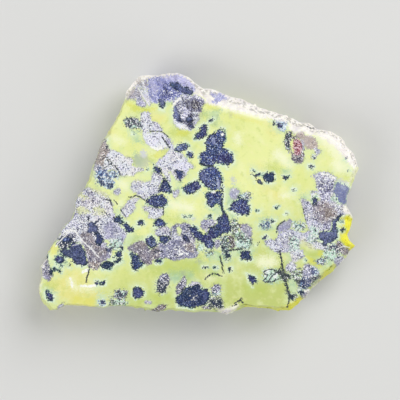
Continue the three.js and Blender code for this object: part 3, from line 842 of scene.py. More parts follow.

# %% [markdown]
# ## Mixtures, veils and stains
#
# Between the solid grains the rock is mixed: dark specks, teal serpentine and white fibres all
# within a square of one another. `mottle` marks where, with tones for how dark and how blue
# it is. `haze` is ore seen through a skin of serpentine, pale where its tone is high and a
# thin dark stain where it is low. `veil` is a skin of yellow serpentine over ore, so both
# have soft edges. `mint` is serpentine stained blue-green.
#
# The yellow itself varies. `gold` is where the stone is deepest yellow, on the clean broken
# edges and where it thins, `moss` is where it darkens to green, `warm` where it turns to
# butter, and a milky wash where it clouds. On the upper right that wash is a painted pool
# of light.

# %% Draw the mixtures and stains
draw("mottle", """
    .62 .9 | 97,168 6,2 5,2 5,-2 5,1 1,7 -5,2 1,4 -3,4 -4,1 -4,-2 -4,-1 -4,-5 -1,-5 1,-5
    .8 .1 | 123.5,120 3.5,-2.5 5,0 6,1.5 4,4 0,6 -6,0 -6,-1 -5,-1.5
    1.25 .2 | 208,297 6,-1.5 7,2.5 3,5 1,5 -5,2 -7,-.5 -5,-3.5
    .6 0 | 109,297 5,2 11,-1 3,5 -6,3 -12,0
    .85 .2 | 114,291 7,-1.5 6,1.5 0,6 -7,3 -6,-2
    .4 .8 | 98.5,301 3.5,-1.5 3.5,1.5 .5,3.5 -4,2.5 -3.5,-1.5
    .72 .15 | 229,219 5,-1 5,5 0,6 4,4 9,7 0,7 -4,3 -8,-1 -4,-4 -1,-7 -4,-6
    .4 .3 | 235,240 7,0 8,2 -1,6 -9,1 -4,-3
    .72 .6 | 263,222 4,-2.5 4,1.5 0,6 -4,3.5 -5,-2.5
    1 .7 | 297,279 7,-1.5 5,2.5 4,3 -2,4 -6,3.5 -6,-.5 -2,-5
    .95 .4 | 298,289 8,0 -1,7 -4,1.5 -3,-3.5
    .8 0 | 290,271 5,1 3,-3.5 4,.5 0,8 -2,8 -4,-3 -5,-4
    .5 .6 | 312,268 5,0 3,4 -4,5 -4,-2
    .7 .3 | 328,245 5,-2 5,3 3,5 -1,5 -6,-3 -5,-3
    .35 .1 | 323,251 11,-3 5,5 -4,6 -7,2 -5,-5
    .65 .3 | 316,260 5,-2 5,2 -1,4 -6,.5
    1.15 .25 | 59,239 3,-3 5,-1.5 6,2.5 0,4 -5,4 -2,5 -5,2 -2,-5
    .3 .6 | 275.5,121 8.5,-2 4,1 -1,6 -3,5 -5,-1.5
    1.05 .05 | 283.5,142 2.5,-7 4,-4.5 3.5,-.5 -1.5,7 -2,6 0,7 -3,-1
    .22 .05 | 263,272 3,-3 6,0 7,1.5 1,5.5 -4,5 -6,1.5 -6.5,-.5
    .9 .1 | 312,276 6,-1.5 4,1.5 -6,7 -5,3
    .8 .1 | 286,290 5,3.5 6,1 3,2.5 -4,3 -6,-.5
    1.15 .2 | 277,271.5 4,-2 5,1.5 4,3.5 -1,5.5 -5,.5 -5,-2.5
    .85 .3 | 219,236 7,0 3,5 1,9 1,8 -5,2 -4,-10
    .8 .2 | 205,250 8,0 1,6 -7,0
    .4 .3 | 110,240 10,-2 4,8 -8,4 -8,-3
    .4 .1 | 197,242 6,2 1,8 -6,0
    .5 .3 | 292,222 8,0 6,2 -2,6 -8,0 -4,-3
    .4 .25 | 289,238 7,-2 4,6 -3,8 -7,0
    .25 .2 | 311,226 7,2 1,8 -5,7 -6,-2 3,-8
    .1 .1 | 311,193 8,-.5 0,5.5 -7,1
    .4 .1 | 333,192 4,4 5,6 -4,3 -6,-5
    .5 .1 | 311,154 4,0 2,4 -4,2
    1.25 .2 | 156,282 6,-.5 6,2.5 .5,4 -4,5 -5,1 -3.5,-3
    .75 .5 | 239,195 3,-2 5,-1 4,2.5 0,5.5 -5,1 -4,-2
    .5 .3 | 211,290 6,2 4,-3 -1,7 -7,1
    .5 .3 | 154,164 4,-1 0,5 -4,0
    .4 .5 | 186,149 5,1 1,7 -5,0
""", ["mottle_dark", "mottle_blue"])
draw("mint", """
    | 226,188 10,-2 6,8 -4,10 -8,10 -6,-6
    | 207,207 14,-1 3,6 -6,5 -6,-3
    | 228,211 10,3 -2,7 -6,1
    | 282,169 8,0 1,7 -10,0
    | 229,228 9,-2 14,14 4,12 -12,4 -14,0 -4,-16
    | 258,218 18,0 1,12 -11,2 -9,-2
    | 291,222 13,-1 2,9 -6,2 -9,-3
    | 262,270 21,0 1,12 -20,1
    | 286,271 16,-1 -2,8 -3,6 1,12 -6,2 -3,-8
    | 270,117 16,0 0,15 -10,0
    | 42,287 8,1 6,5 -1,7 -7,2 -5,-5
    | 221,248 13,0 -2,14 -10,0
    | 168,270 24,0 4,10 -10,5 -10,-1 -10,-4
    | 198,262 8,0 2,6 -8,2
    | 211,264 7,0 0,11 -6,0
    | 110,297 18,2 -1,7 -19,0
    | 318,252 27,-2 -8,16 -7,6 -6,-6 1,-8
    | 303,232 14,4 2,8 -13,0
    | 128,130 11,0 2,12 -7,0
    | 93,167 5,0 2,23 -7,-2
    | 134,152 8,8 -1,6 -7,-3
    | 332,190 10,6 0,9 -8,-3 -2,-6
    | 300,196 12,-4 0,8 -10,2
    | 288,243 12,3 0,16 -14,0
    | 113,210 8,0 1,7 -8,0
    | 121,230 25,8 0,12 -20,0
    | 104,256 12,0 8,6 -12,8 -8,-2
    | 176,182 6,2 -2,8 -5,-2
    | 203,112 17,-2 -1,16 -11,-2
    | 204,252 16,-2 2,12 -14,-2
    | 156,98 18,-1 -2,7 -14,2
    | 51,262 19,-2 0,8 -16,0
    | 57,242 3,-2 1,12 -4,2
    | 100,291 8,6 -10,11 -2,-8
""")
draw("haze", """
    .55 | 133,158 4,-4 10,3 4,5 -4,6 -7,2 -5,-4
    .9 | 139.5,152 3.5,-2.5 3.5,2.5 1,4 -4,2.5 -3.5,-2.5
    .8 | 164,134 8,6 4,8 -6,2 -5,-8
    .8 | 178,77 10,2 5,6 -3,3 -6,-4 -6,-4
    .8 | 303,232 9,2 8,6 -2,6 -12,0 -8,0
    .8 | 335,180 6,-1.5 6,3.5 2,5 -9,-1 -5,-1
    .8 | ~2 232.5,179 1.5,2.5
    .8 | ~1.6 188,218.5 5,0
    .8 | ~1.5 318.5,192
    .5 | ~1.1 339,142 3,4
    .4 | ~1.1 341,151
    .5 | ~1.5 346,157 2,3
    .2 | ~1.5 216.2,116.5
    .35 | ~1.6 229.7,113.5 1.3,2.5
    .35 | ~2.2 183,273.5
    .4 | ~1.6 197,261 3,1
    .3 | ~1 213.7,122 .8,2.5
""", ["haze_share"])
draw("veil", """
    | ~3.6 80,210 6,1
    | ~3.4 96,210 5,1
    | ~2.6 97,190 9,5
    | ~2.6 81,195 3,2
    | ~2.4 92,187 5,2
    | ~2 108,196 9,3
    | ~3 93,179 1,7
    | ~2.6 284,259 5,-1
    | ~3 302,243 10,6
    | ~3 299,262 1,5
    | ~1.6 137,180 7,0
    | ~2.4 334,197 4,5
    | ~2 197,243 3,7
    | ~1.8 110,243 6,3
    | ~2 290,240 5,7
""")
draw("gold", """
    1 | 342.5,216.5 7.5,-2 5,4.5 -2,8 -3,8 2,5.5 6,5.5 -7,6 -5,-3 -5,-8 -2,-5 2.5,-4 2.5,-4 -1,-7
    .6 | 340,262 -3,5 -6,10 -11,8 -2,-6 7,-8 8,-7
    .85 | 305,294 4,5 -16,12 -4.5,1 -2.5,-6 5,-5 7,-5
    .5 | 287,306 1.5,6 -13.5,-1 -9,-1 -21,-2 0,-2.5 17,1.5 13,1
    .75 | 341,216 5,-2 0,12 -2,12 -5,0 0,-12 2,-7
    .3 | 50,247 8,-4 2,7 -3,5 -5,-1
    .35 | 125,104 2,-4 4,2 6,4 9,3 12,-3 0,3 -10,3 -14,-1
    .3 | 229,112 13,3 12,3 10,3.5 -2,3 -12,-2.5 -12,-3.5 -9,-3.5
    .25 | 204,103 6,1 10,4 -2,3 -10,-2
    .4 | 300,241 6,0 5,5 -4,2 -6,-2
    .5 | 303,257 5,-1 8,5 6,6 -4,1 -8,-5 -7,-1
    .45 | 318,249 6,1 3,4 -5,3 -5,-2
    .35 | 178,130 12,1 -4,5 -10,-1
    .35 | 160,149 9,1 -4,7 -9,4 -3,-5
    .3 | 74,296 22,2 -2,7 -22,-1
    .5 | 280,307 8,-1 2,5 -14,0
""", ["gold_deep"])
draw("warm", """
    | ~18 62,280 22,14
    | ~7 96,294 4,6
    | ~6 152,116 6,2
    | ~6 268,110 6,20
    | ~7 258,172 10,14
    | ~6 272,190 6,8
    | ~4 54,250 4,-4
    | ~6 320,138 10,4
    | ~2.5 108,134 2,-2
""")
draw("moss", """
    | ~4 122,292 14,8 24,4
    | ~8 168,266 28,0
    | ~4 180,266 8,14
    | ~4 174,133 12,1
    | ~3 134,108 12,2
    | ~5 140,160 -6,2
    | ~3 148,158 4,4
    | ~4 212,272 8,8
    | ~3 164,219 20,1
    | ~3 86,211 12,0
    | ~3 206,116 8,6
    | ~6 150,297 16,0
    | ~3 47,284 7,1
    | ~5 150,266 10,4
    | ~4 270,168 6,2
    | ~4 308,255 12,-1
    | ~2.4 137,238 -3,4
    | ~2 297,262 3,6
    | ~4 246,288 16,2
""")
# A milky wash. The first two streaks, on the upper right, are a painted pool of light, and the third, at
# the lower left, is part of a white streak that is partly a painted reflection, partly a scuff; the rest
# is clouding in the stone.
draw("milk_and_painted_light", """
    | ~9 310,130 20,10 14,16
    | ~8 340,165 10,0
    | ~2 70,281 6,7 16,1
    | ~6 262,262 9,0
    | ~3 121,202 1,6
    | ~3 284,196 8,-2
    | ~5 168,203 22,5
    | ~4 119,182 7,4
    | ~4 209,277 12,0
    | ~5 278,154 12,10
    | ~2 114,138 8,4
    | ~3 237.5,136 1,6
    | ~5 226,106 36,10
    | ~4 292,119 6,14
""")

# %% [markdown]
# ## The rind, the blue nose and the red mineral
#
# Where the stone lay in the ground its skin weathered to a cream-white rind, kept along the
# upper rim. The nose is a natural face of periwinkle-blue ore. A single speck of red mineral
# sits near the right shoulder. White spots and streaks here and there are painted glints and
# reflections, with a few white scuffs.
#
# One more number says how far out a point lies: 0 on the face, 0.3 in the pocket, up to 1
# over the bevel, on to 2 down the flank, and 2 on the back.

# %% Draw the rind, nose, red speck, and painted glints and scuffs
draw("rind", """
    1 | 195,82 8.5,2 8.5,0 9,2 9,4 10,5 8,3 9,4 11,4 12,3 10,4 11,5 8,1 10,7 -1,7 -9,3 -7,-5 -6,2 -7,-4 \
    0,-7 -15,-2.5 -9,-1.5 -13,-3.5 -19,-4 -10,-3.5 -11,-2 -6,-2 -2,-5 -7,-3 -3,-5 -2,-6
    1 | 147,76 13,-3 22,0 14,7 8,12 -1,4 -13,-2.5 -10,1 -8,6.5 -12,1 -11,0
    1 | 309,119 10,6 14,2 11,7 6,9 8,10 6,14 -10,2.5 -6,-7.5 -7,-8.5 -7,-7.5 -8,-6 -9,-5 -7,-4
    1 | 121,98 3,-10 6,-9 8,-6 7,-2 12,0 8,-1 12,-1 10,2 8,4 5,6 6,5 0,6 -6,0 -5,-4 -5,-7 -6,-4 -7,-1.7 \
    -12,1.2 -9,1 -8,1 -3,1.5 -7,4 -6,5 -5,9
    .15 | 86,182 4,-11 5,-14 4,-12 6,-11 5,1 -4,9 -3,11 -6,11 -5,14
    .95 | 343,202 7,6 5,6 -1,5 -4.5,-3.5 -7,-4
    .5 | 36,266 4,-6 6,-4 1,5 -5,7 0,12 -2,14 -4,0
    .6 | 304,300 4,-8 7,-7.5 6,-5 4,2.5 -9,9 -7,8
    .8 | 341,264 5,-6 2,4 -6,6
    .5 | 350,184 9,-12 3,-4 -7,-2 -3,10 -4,8
    .7 | 218,309.5 8,-1.5 10,-3.5 4,-.5 -5,8 -9,3.5 -8,-2
""", ["rind_white"])
draw("blue", """
    .65 | 148,77.5 12,-1 12,.5 10,0 6,3 5,6 0,6 -4,3 -6,-.5 -4,3 -6,3 -10,.5 -7,2 -6,-1 -1.5,-7 -1,-9
    .08 | ~5 163,96 5,-3 8,-1
    .15 | ~1.5 168,84 -4,6
    .85 | ~3 152,82 3,8
    .85 | ~1 160,80 2,6
    1 | 164,76 13,-2 9,3 6,6 0,6 -7,-3 -5,-4 -8,-2 -7,-.5
    .75 | 211,91 5,3 4,-1.5 4,2.5 4,4 -6,1 -3,2 -3,2 -4,-2.5 2,-3.5 -3,-3
    .8 | 186,84 8,0 2,6 -4,3 -5,-3
""", ["blue_light"])
draw("red", """
    | 293,141 3,-2.5 4,.5 2,4 0,6 -1.5,5 -3.5,2 -3.5,-3 -1,-6
""")
# White spots and streaks: painted glints and reflections, and a few white scuffs.
draw("white", """
    | ~1.5 222.5,134.3
    | ~1 212,192.5 2.5,-.5
    | ~.9 214.5,222 2,0
    | ~1.6 85.5,271 2,-1
    | ~1.2 82,272 2,0
    | ~1 70,278 1.5,4 1,5
    | ~1 80,286 6,0
    | ~1.5 89.5,286.5 5,-1
    | ~.6 190,296
    | ~.6 193.5,298
    | ~.6 196,296
    | ~.6 195,300
    | ~.5 191.5,300
    | ~1.1 322,174 6,1 6,3
    | ~.8 179,254.5 3.5,-1
    | ~.9 305,291.5 4,-1.5
    | ~.8 128,175.5 3,-.5
    | ~1.1 151,146.5 5,2.5 6,-.5
    | ~.7 156.8,254.3
    | ~.7 184,245.5 2.5,-.5
    | ~1.1 342,264 2.5,-3
    | ~.4 298,289.5 6,0
    | ~.7 331,217 4,1
    | ~.9 284,117.5 -7,1.5
    | ~.8 172.5,107 2.5,-4.5 5,-4.5
""")
POCKET_OUTWARD = 0.3
ring_outward = np.concatenate([bevel_share[:, 0], 1 + flank_share[:, 0], np.full(BACK_RINGS, 2)])
store("outward", np.concatenate([POCKET_OUTWARD * in_pocket, np.repeat(ring_outward, stations), [2]]))

# %% [markdown]
# ## Cracks, scratches and painted highlights
#
# A crack is thinner than a cell of the mesh, so a distance alone would break it into dots. It
# is stored as a signed distance instead, positive on its left and negative on its right,
# which passes evenly through zero however coarse the mesh is. A second number, the plain
# distance, keeps the line from running on past its ends.

# %% Draw the thin lines
def draw_lines(name, text):
    """Stores, in half widths of the nearest line, the signed distance to it and the plain
    distance. The sign is that of the cross product of the line's direction and the way to
    the point."""
    signed, plain = np.full(len(sheet), REACH), np.full(len(sheet), FAR)
    shapes = read_shapes(text)
    for _, half_width, path in shapes:
        for start, end in zip(path, path[1:]):
            near = near_to(np.array([start, end]))
            distance = to_sides(sheet[near], start[None], end[None])[:, 0] / half_width
            side, away = end - start, sheet[near] - start
            across = (side[0] * away[:, 1] - side[1] * away[:, 0]) / np.linalg.norm(side) / half_width
            nearer = distance < plain[near]
            plain[near[nearer]] = distance[nearer]
            signed[near[nearer]] = across[nearer]
    store(name + "_side", signed)
    store(name + "_gap", plain)
    print(f"{name}: {len(shapes)} lines")


draw_lines("crack", """
    | ~.5 150,131.5 6,-.5 5.5,.5 3.5,2.5 3,2.5
    | ~.8 163,138 3,4 3,5
    | ~.7 115,166 3,4 2,4.5
    | ~.5 107,160 3,3 3,3
    | ~.6 129,197 4,0 3,-1.5 4,1.5 4,3
    | ~.8 106.5,199.5 3.5,.5
    | ~.6 114,200.5 2,1.5 1,2
    | ~.5 110,201 2,5
    | ~.5 105,212 2,3 2,2
    | ~.6 163.3,208 0,7
    | ~.9 89.3,267.5 -.5,4.5 -1.5,4 -.9,5
    | ~.9 220.5,257 .8,5 1,5 1.2,5
    | ~.9 205.8,278.5 2.2,-2.5 2.5,-1.5 2.5,-.5 4.5,.3
    | ~.5 219,276 3,0
    | ~1 236,302.7 3,-1.7 2,-2
    | ~.8 241,300 1.5,2
    | ~.6 233,306 4,-1.7
    | ~1.3 280,253 .5,4 1.2,4 .3,4 1.5,4.5
    | ~1.2 277,272 5,2 6,2
    | ~1 280,270 2,5 2,5
    | ~1.4 284,279 2,5 1.5,5 1.5,4 1.5,4
    | ~1 289.5,297 -1,6 -1,3
    | ~.6 264,271.5 4,-2 5,0 6,2
    | ~.6 265,274 3,1 -2,3 -2.5,2.5
    | ~.6 267,282 3,-3 3,-4 3,-1.5
    | ~.7 266,282 6,0 6,-3
    | ~1 229,250 5,0 7,-1
    | ~.5 101,160 5,-3 5,4
    | ~.5 104,168 5,-3 4,-4
    | ~.6 200,164 6,2 7,0
    | ~.7 276.5,232 1,-5 2.5,-3.5 4,-2.5
    | ~.5 149,246 7,4 7,2
    | ~.6 121,210 2,3 2,3
    | ~.5 306,221 -1,-5 -2,-7
    | ~.5 308,126.5 3,1.5 3,0
""")
# White lines: partly scratches, partly painted highlights along thin ridges.
draw_lines("scratch", """
    | ~.75 66,231 5,-1.5 4,1.5 4,5 3,4 4,4.5 5,4 4,4.5 3.5,4
    | ~.6 56,246 6,-7 5,-5 6,-4
    | ~.5 60,236 8,-6 7,-3
    | ~.4 72,246 8,-2.5
    | ~.5 337,249 7,-3 6,2
    | ~.5 341,264 3,-4
    | ~.8 138.5,89 4.5,7 5.5,8
    | ~.5 174,249 8,2 6,4
""")


# %% [markdown]
# ## Building a material from small pieces
#
# A material is a graph of nodes. `add` makes one node, sets it up and feeds its inputs, and
# hands back an output to feed the next. Colours are written as the hex values a paint
# program shows. Those are sRGB, where steps look even to the eye, but light adds up only in
# linear values, so `colour` converts them.
#
# Each mineral is a `coat`: a colour, a roughness, a metallic share and a height. `lay` puts
# coats one over another through masks, which mixes all four at once. `tinge` does the same
# for the colours within a coat, and `overlap` keeps a mask to where other masks are too.

# %% Helpers for the material
SMOOTH = {"interpolation_type": "SMOOTHSTEP"}   # a range with soft ends
COLOURS = {"data_type": "RGBA"}                 # mix colours, not numbers
TIMES, PLUS, MINUS, TIMES_PLUS, SIZE = (
    {"operation": name} for name in ("MULTIPLY", "ADD", "SUBTRACT", "MULTIPLY_ADD", "ABSOLUTE"))

stone = bpy.data.materials.new("serpentine, sawn, polished and broken")
stone.use_nodes = True
tree = stone.node_tree
tree.nodes.clear()


def colour(text):
    """Linear RGBA from a hex colour. The sRGB curve is c / 12.92 near black and
    ((c + 0.055) / 1.055) ^ 2.4 above."""
    srgb = np.array([int(text[i:i + 2], 16) for i in (1, 3, 5)]) / 255
    return *np.where(srgb < 0.04045, srgb / 12.92, ((srgb + 0.055) / 1.055) ** 2.4).tolist(), 1.0


def add(kind, inputs=(), output=0, **settings):
    """Adds a node and returns one of the outputs in use. The inputs are a list in the node's
    own order or a dictionary by name. Each is a number, a hex colour or another output."""
    node = tree.nodes.new("ShaderNode" + kind)
    for name, value in settings.items():
        setattr(node, name, value)
    sockets = [socket for socket in node.inputs if socket.enabled]
    for name, value in inputs.items() if isinstance(inputs, dict) else enumerate(inputs):
        socket = node.inputs[name] if isinstance(name, str) else sockets[name]
        if isinstance(value, bpy.types.NodeSocket):
            tree.links.new(value, socket)
        else:
            socket.default_value = colour(value) if isinstance(value, str) else value
    return [socket for socket in node.outputs if socket.enabled][output]


def coat(tint, roughness, metallic=0.0, height=0.0):
    """What a mineral gives the surface."""
    return {"tint": tint, "roughness": roughness, "metallic": metallic, "height": height}


def lay(rock, *layers):
    """Coats laid one over another in every channel. A layer is a mask and a coat."""
    for mask, over in layers:
        rock = {channel: add("Mix", [mask, rock[channel], over[channel]],
                             **(COLOURS if channel == "tint" else {})) for channel in rock}
    return rock


def tinge(tint, *layers):
    """Tints laid one over another. A layer is a tint and its mask, or a tint and what makes
    the mask: a value, where it starts and ends to count, and how strongly at both."""
    for over, mask, *ends in layers:
        if ends:
            mask = add("MapRange", [mask, *ends], **SMOOTH)
        tint = add("Mix", [mask, tint, over], **COLOURS)
    return tint


def overlap(*masks):
    """The product of masks: where all of them are. A plain number weakens the rest."""
    product, *others = masks
    for mask in others:
        product = add("Math", [product, mask], **TIMES)
    return product


def set_stops(ramp, *stops):
    """Gives a colour ramp its stops, a position and a tint each."""
    bands = ramp.node.color_ramp.elements
    for band, (position, tint) in zip(bands, (stops[0], stops[-1])):
        band.position, band.color = position, colour(tint)
    for position, tint in stops[1:-1]:
        bands.new(position).color = colour(tint)
    return ramp


numbers = [kept.name for kept in slab_mesh.attributes if kept.data_type == "FLOAT"]
drawn = {name: add("Attribute", output=2, attribute_name=name) for name in numbers}
object_place = add("TexCoord", output=3)
place = add("VectorMath", [object_place, (1 / MM,) * 3], **TIMES)   # in mm
print("numbers read from the mesh:", len(drawn))

# %% [markdown]
# ## The grain of the rock
#
# Every pattern below has a real size. Ore grains are about a third of a millimetre, the
# squiggles where the ore is coarse are 1.3 mm apart, and the yellow drifts in swells of
# 14 mm. `place` is in millimetres, so a scale is one over the size. A third of a millimetre
# is as fine as shows at this distance, so it stands for all the dust below it.
#
# A noise texture stays near 0.5 and seldom leaves 0.3 to 0.7, so the ranges that read it do
# too. The line where a noise crosses 0.5 is a closed curl, which makes the squiggles.

# %% Patterns shared by the minerals
FRAY = (5.0, 6.0)               # how far the coarse and the fine noise move an edge, squares

drift = add("TexNoise", [place, 1 / 14, 2, 0.5])
cloudy = add("TexNoise", [place, 1 / 4, 3, 0.6])
motley = add("TexNoise", [place, 1 / 1.9, 3, 0.6])
speckle = add("TexNoise", [place, 1 / 0.85, 2, 0.55])
dust = add("TexNoise", [place, 1 / 0.33, 1, 0.5])
raised_place = add("VectorMath", [place, (0, 0, 40)], **PLUS)
sparks = add("TexNoise", [raised_place, 1 / 0.33, 0, 0.5])
gathered = add("TexNoise", [raised_place, 1 / 1.5, 2, 0.6])
curl_noise = add("TexNoise", [raised_place, 1 / 1.3, 2, 0.5, 2, 1.2])
off_line = add("Math", [add("Math", [curl_noise, 0.5], **MINUS)], **SIZE)
curls = add("MapRange", [off_line, 0.008, 0.04, 1, 0], **SMOOTH)
fine_fray = add("TexNoise", [place, 1 / 0.45, 1, 0.5])
coarse_fray = add("TexNoise", [place, 1 / 1.3, 2, 0.6])
fray = add("Math", [coarse_fray, FRAY[0], -sum(FRAY) / 2], **TIMES_PLUS)
fray = add("Math", [fine_fray, FRAY[1], fray], **TIMES_PLUS)


def inside(name, soft=0.5, frayed=1.0, past=0):
    """1 inside a mineral's grains and 0 outside, `past` squares beyond the drawn edge. The
    edge is `soft` squares wide either way and moved by `frayed` times the fray."""
    depth = add("Math", [drawn[name], past], **PLUS) if past else drawn[name]
    rough_depth = add("Math", [fray, frayed, depth], **TIMES_PLUS)
    return add("MapRange", [rough_depth, -soft, soft], **SMOOTH)


print("nodes with the shared patterns:", len(tree.nodes))

# %% [markdown]
# ## Serpentine
#
# Serpentine is a magnesium silicate that grew in place of older minerals, so its colour
# drifts with the iron in it: lemon where there is little, moss green where there is more.
# Polished, it shines like wax, and where it clouds it turns milky.

# %% The yellow stone
toward_corner = add("VectorMath", [place, (0.35, -1, 0)], operation="DOT_PRODUCT")
pale_cloud = add("MapRange", [cloudy, 0.5, 0.75, 0, 0.45], **SMOOTH)
yellow = tinge(
    "#eaf0a4",
    ("#e4eb98", drift, 0.38, 0.64),
    # darker and greener towards the bottom: partly the stone's own green, partly painted shade where the
    # light from above falls off
    ("#c2ce78", toward_corner, 2, 40),
    ("#ebe28a", overlap(0.6, inside("warm", 8, 2))),
    ("#f3f7c4", pale_cloud),
    ("#c8d67c", motley, 0.52, 0.72, 0, 0.45),
    ("#fbf4c2", motley, 0.46, 0.3, 0, 0.18),
    # milky clouding, with a painted pool of light on the upper right and part of a painted reflection at
    # the lower left
    ("#f6f9d4", overlap(0.85, inside("milk_and_painted_light", 5, 1.5))))
print("nodes with the yellow stone:", len(tree.nodes))

# %% [markdown]
# ## Stains and halos
#
# Round each magnetite grain the serpentine is bleached to mint and then teal, since the
# grain drew the iron out of it. The depth stored for the grain is negative outside, so the
# halo is simply the band from about -2 to 0 squares. A wider, weaker wash lies round both
# minerals, so that the clean yellow is left only where there is room between them. Moss and
# gold are laid over the wash, because there the stone stays deep right up to the grains.

# %% Mint, moss, gold, haze and halos
patchy = add("MapRange", [add("TexNoise", [place, 1 / 3.5, 2]), 0.38, 0.58, 0.15, 1], **SMOOTH)
patchy_too = add("MapRange", [add("TexNoise", [raised_place, 1 / 2.2, 2]), 0.42, 0.6], **SMOOTH)
mint = coat(tinge("#cae0b8", ("#a0c6a6", cloudy, 0.4, 0.6)), 0.35)
wash, moss = coat("#dbeab8", 0.33), coat("#bacc60", 0.3)
# the gold turns lighter out over the bevel and flank, and halfway in the pocket: painted light on faces
# turned away from the key
gold = coat(tinge("#e2de24", ("#f0ec40", drawn["outward"], 0, 0.6)), 0.3)
haze = coat(tinge("#74866c", ("#d8dae2", drawn["haze_share"])), 0.35)
halo, inner_halo, shade = coat("#e4f2d6", 0.33), coat("#7ea896", 0.35), coat("#b0bf78", 0.33)
rock = lay(
    coat(yellow, 0.3),
    (overlap(0.85, inside("mint", 3.5, 2)), mint),
    (overlap(0.7, patchy, inside("magnetite", 4, 1, past=5)), wash),
    (overlap(0.6, patchy, inside("ore", 3.5, 1, past=4)), wash),
    (overlap(0.6, inside("moss", 6, 2)), moss),
    (overlap(drawn["gold_deep"], inside("gold", 1.5)), gold),
    (overlap(drawn["haze_share"], inside("haze", 2, 1.2)), haze),
    (overlap(patchy, inside("magnetite", 1, 0.8, past=1.9)), halo),
    (overlap(0.75, patchy_too, inside("magnetite", 0.9, 1, past=0.9)), inner_halo),
    (overlap(0.5, patchy_too, inside("ore", 0.9, 1, past=1.2)), shade))
print("nodes with the stains and halos:", len(tree.nodes))

# %% [markdown]
# ## Ore
#
# The ore is a mosaic of grains, each as bright as the angle it was cut at. Where it is
# coarse, dark curls of serpentine wind between white grains. Where it is fine it is a more
# even grey with dust-sized pits and white sparks, painted glints, which thin out as the
# coarseness falls below 0. It drifts between lilac, blue-grey and warm grey over a few
# millimetres.

# %% The ore mosaic
coarse = drawn["ore_coarse"]
crowded = add("MapRange", [gathered, 0.4, 0.6, 0.35, 1.5], **SMOOTH)
busy = overlap(crowded, add("MapRange", [coarse, -0.5, 1, 0.2, 1.25]))
grain = overlap(busy, add("Math", [dust, 3.0, -1.5], **TIMES_PLUS))
swell = add("Math", [speckle, 1.5, -1.4], **TIMES_PLUS)
swell = add("Math", [motley, 1.3, swell], **TIMES_PLUS)
contrast = add("MapRange", [coarse, 0, 1, 0.25, 0.85])
light = add("Math", [swell, contrast, drawn["ore_light"]], **TIMES_PLUS)
light = add("Math", [light, grain], **PLUS)
mosaic = set_stops(add("ValToRGB", [light]), (0.0, "#4c4c66"), (0.25, "#80809a"), (0.5, "#acabc0"),
                   (0.72, "#d3d2e2"), (0.92, "#ffffff"))
hue = set_stops(add("ValToRGB", [cloudy]), (0.4, "#cccaf0"), (0.5, "#c8d4e0"), (0.6, "#dad3d8"))
browner = add("Math", [motley, 0.9, drawn["ore_brown"]], **TIMES_PLUS)
curls_in_ore = overlap(curls, add("MapRange", [speckle, 0.42, 0.52], **SMOOTH),
                       add("MapRange", [coarse, 0.25, 0.9, 0, 0.85], **SMOOTH))
ore_tint = tinge(
    add("Mix", [0.45, mosaic, hue], blend_type="MULTIPLY", **COLOURS),
    (add("Mix", [light, "#4a4236", "#c8b4a4"], **COLOURS), browner, 0.6, 1.4, 0, 0.85),
    ("#4a4a66", curls_in_ore),
    ("#44465e", overlap(busy, add("MapRange", [sparks, 0.6, 0.7, 0, 0.9], **SMOOTH))),
    # the white specks are painted glints
    ("#ffffff", overlap(busy, add("MapRange", [sparks, 0.4, 0.3], **SMOOTH))),
    ("#77788a", drawn["ore"], 0.3, 1.8, 0.22, 0))
ore_height = add("Math", [speckle, 1.2, -0.4], **TIMES_PLUS)
veil = coat(tinge("#dfe49a", ("#f2f4c8", pale_cloud)), 0.35)
rock = lay(rock, (inside("ore", 0.8, 0.8), coat(ore_tint, 0.42, 0.15, ore_height)),
           (overlap(0.6, inside("veil", 1.8, 1.6)), veil))
print("nodes with the ore:", len(tree.nodes))

# %% [markdown]
# ## The mixture
#
# Where the minerals are mixed finer than they can be drawn, chance decides cell by cell
# whether a cell is dark, middling or pale. The cells are a Voronoi pattern half a millimetre
# across, and a slow noise gathers cells of one kind. One tone sets how many are dark, and
# the other turns the three colours from green-grey towards blue.

# %% Mottled rock
cell_chance = add("SeparateColor", [add("TexVoronoi", [place, 1 / 0.5], 1)])
cell_chance = add("Math", [motley, 1.6, cell_chance], **TIMES_PLUS)
cell_chance = add("Math", [drawn["mottle_dark"], -1.2, cell_chance], **TIMES_PLUS)
bluer = add("MapRange", [drawn["mottle_blue"], 0.1, 0.8], **SMOOTH)
dark = tinge("#2c3644", ("#34487c", bluer))
middling = tinge("#86a698", ("#6c92c0", bluer))
pale = tinge("#eceef2", ("#c6e4d2", cloudy, 0.36, 0.5), ("#c6d6f2", overlap(0.8, bluer)))
paler = tinge(middling, (pale, cell_chance, 0.72, 0.84))
# the white specks over the mixture are painted glints
mixed = tinge(dark, (paler, cell_chance, 0.52, 0.6), ("#ffffff", sparks, 0.4, 0.32, 0, 0.9))
rock = lay(rock, (overlap(0.9, inside("mottle", 1.6, 1.5)), coat(mixed, 0.4, 0.1)))
print("nodes with the mixture:", len(tree.nodes))

# %% [markdown]
# ## Rind, nose and red mineral
#
# The rind is chalky, so it is rough and has no shine, and grey flecks mark it in a band near the
# outline. The nose is periwinkle blue where ore weathered in the ground, cloudy and flecked.

# %% Weathered coats
outward = drawn["outward"]
fleck_ranges = ((speckle, 0.44, 0.6), (outward, 0.4, 0.6), (outward, 1, 0.85))
flecks = overlap(0.6, *(add("MapRange", ends, **SMOOTH) for ends in fleck_ranges))
chalk = tinge("#faf6ee", ("#ece6e2", motley, 0.42, 0.62), ("#96948a", flecks))

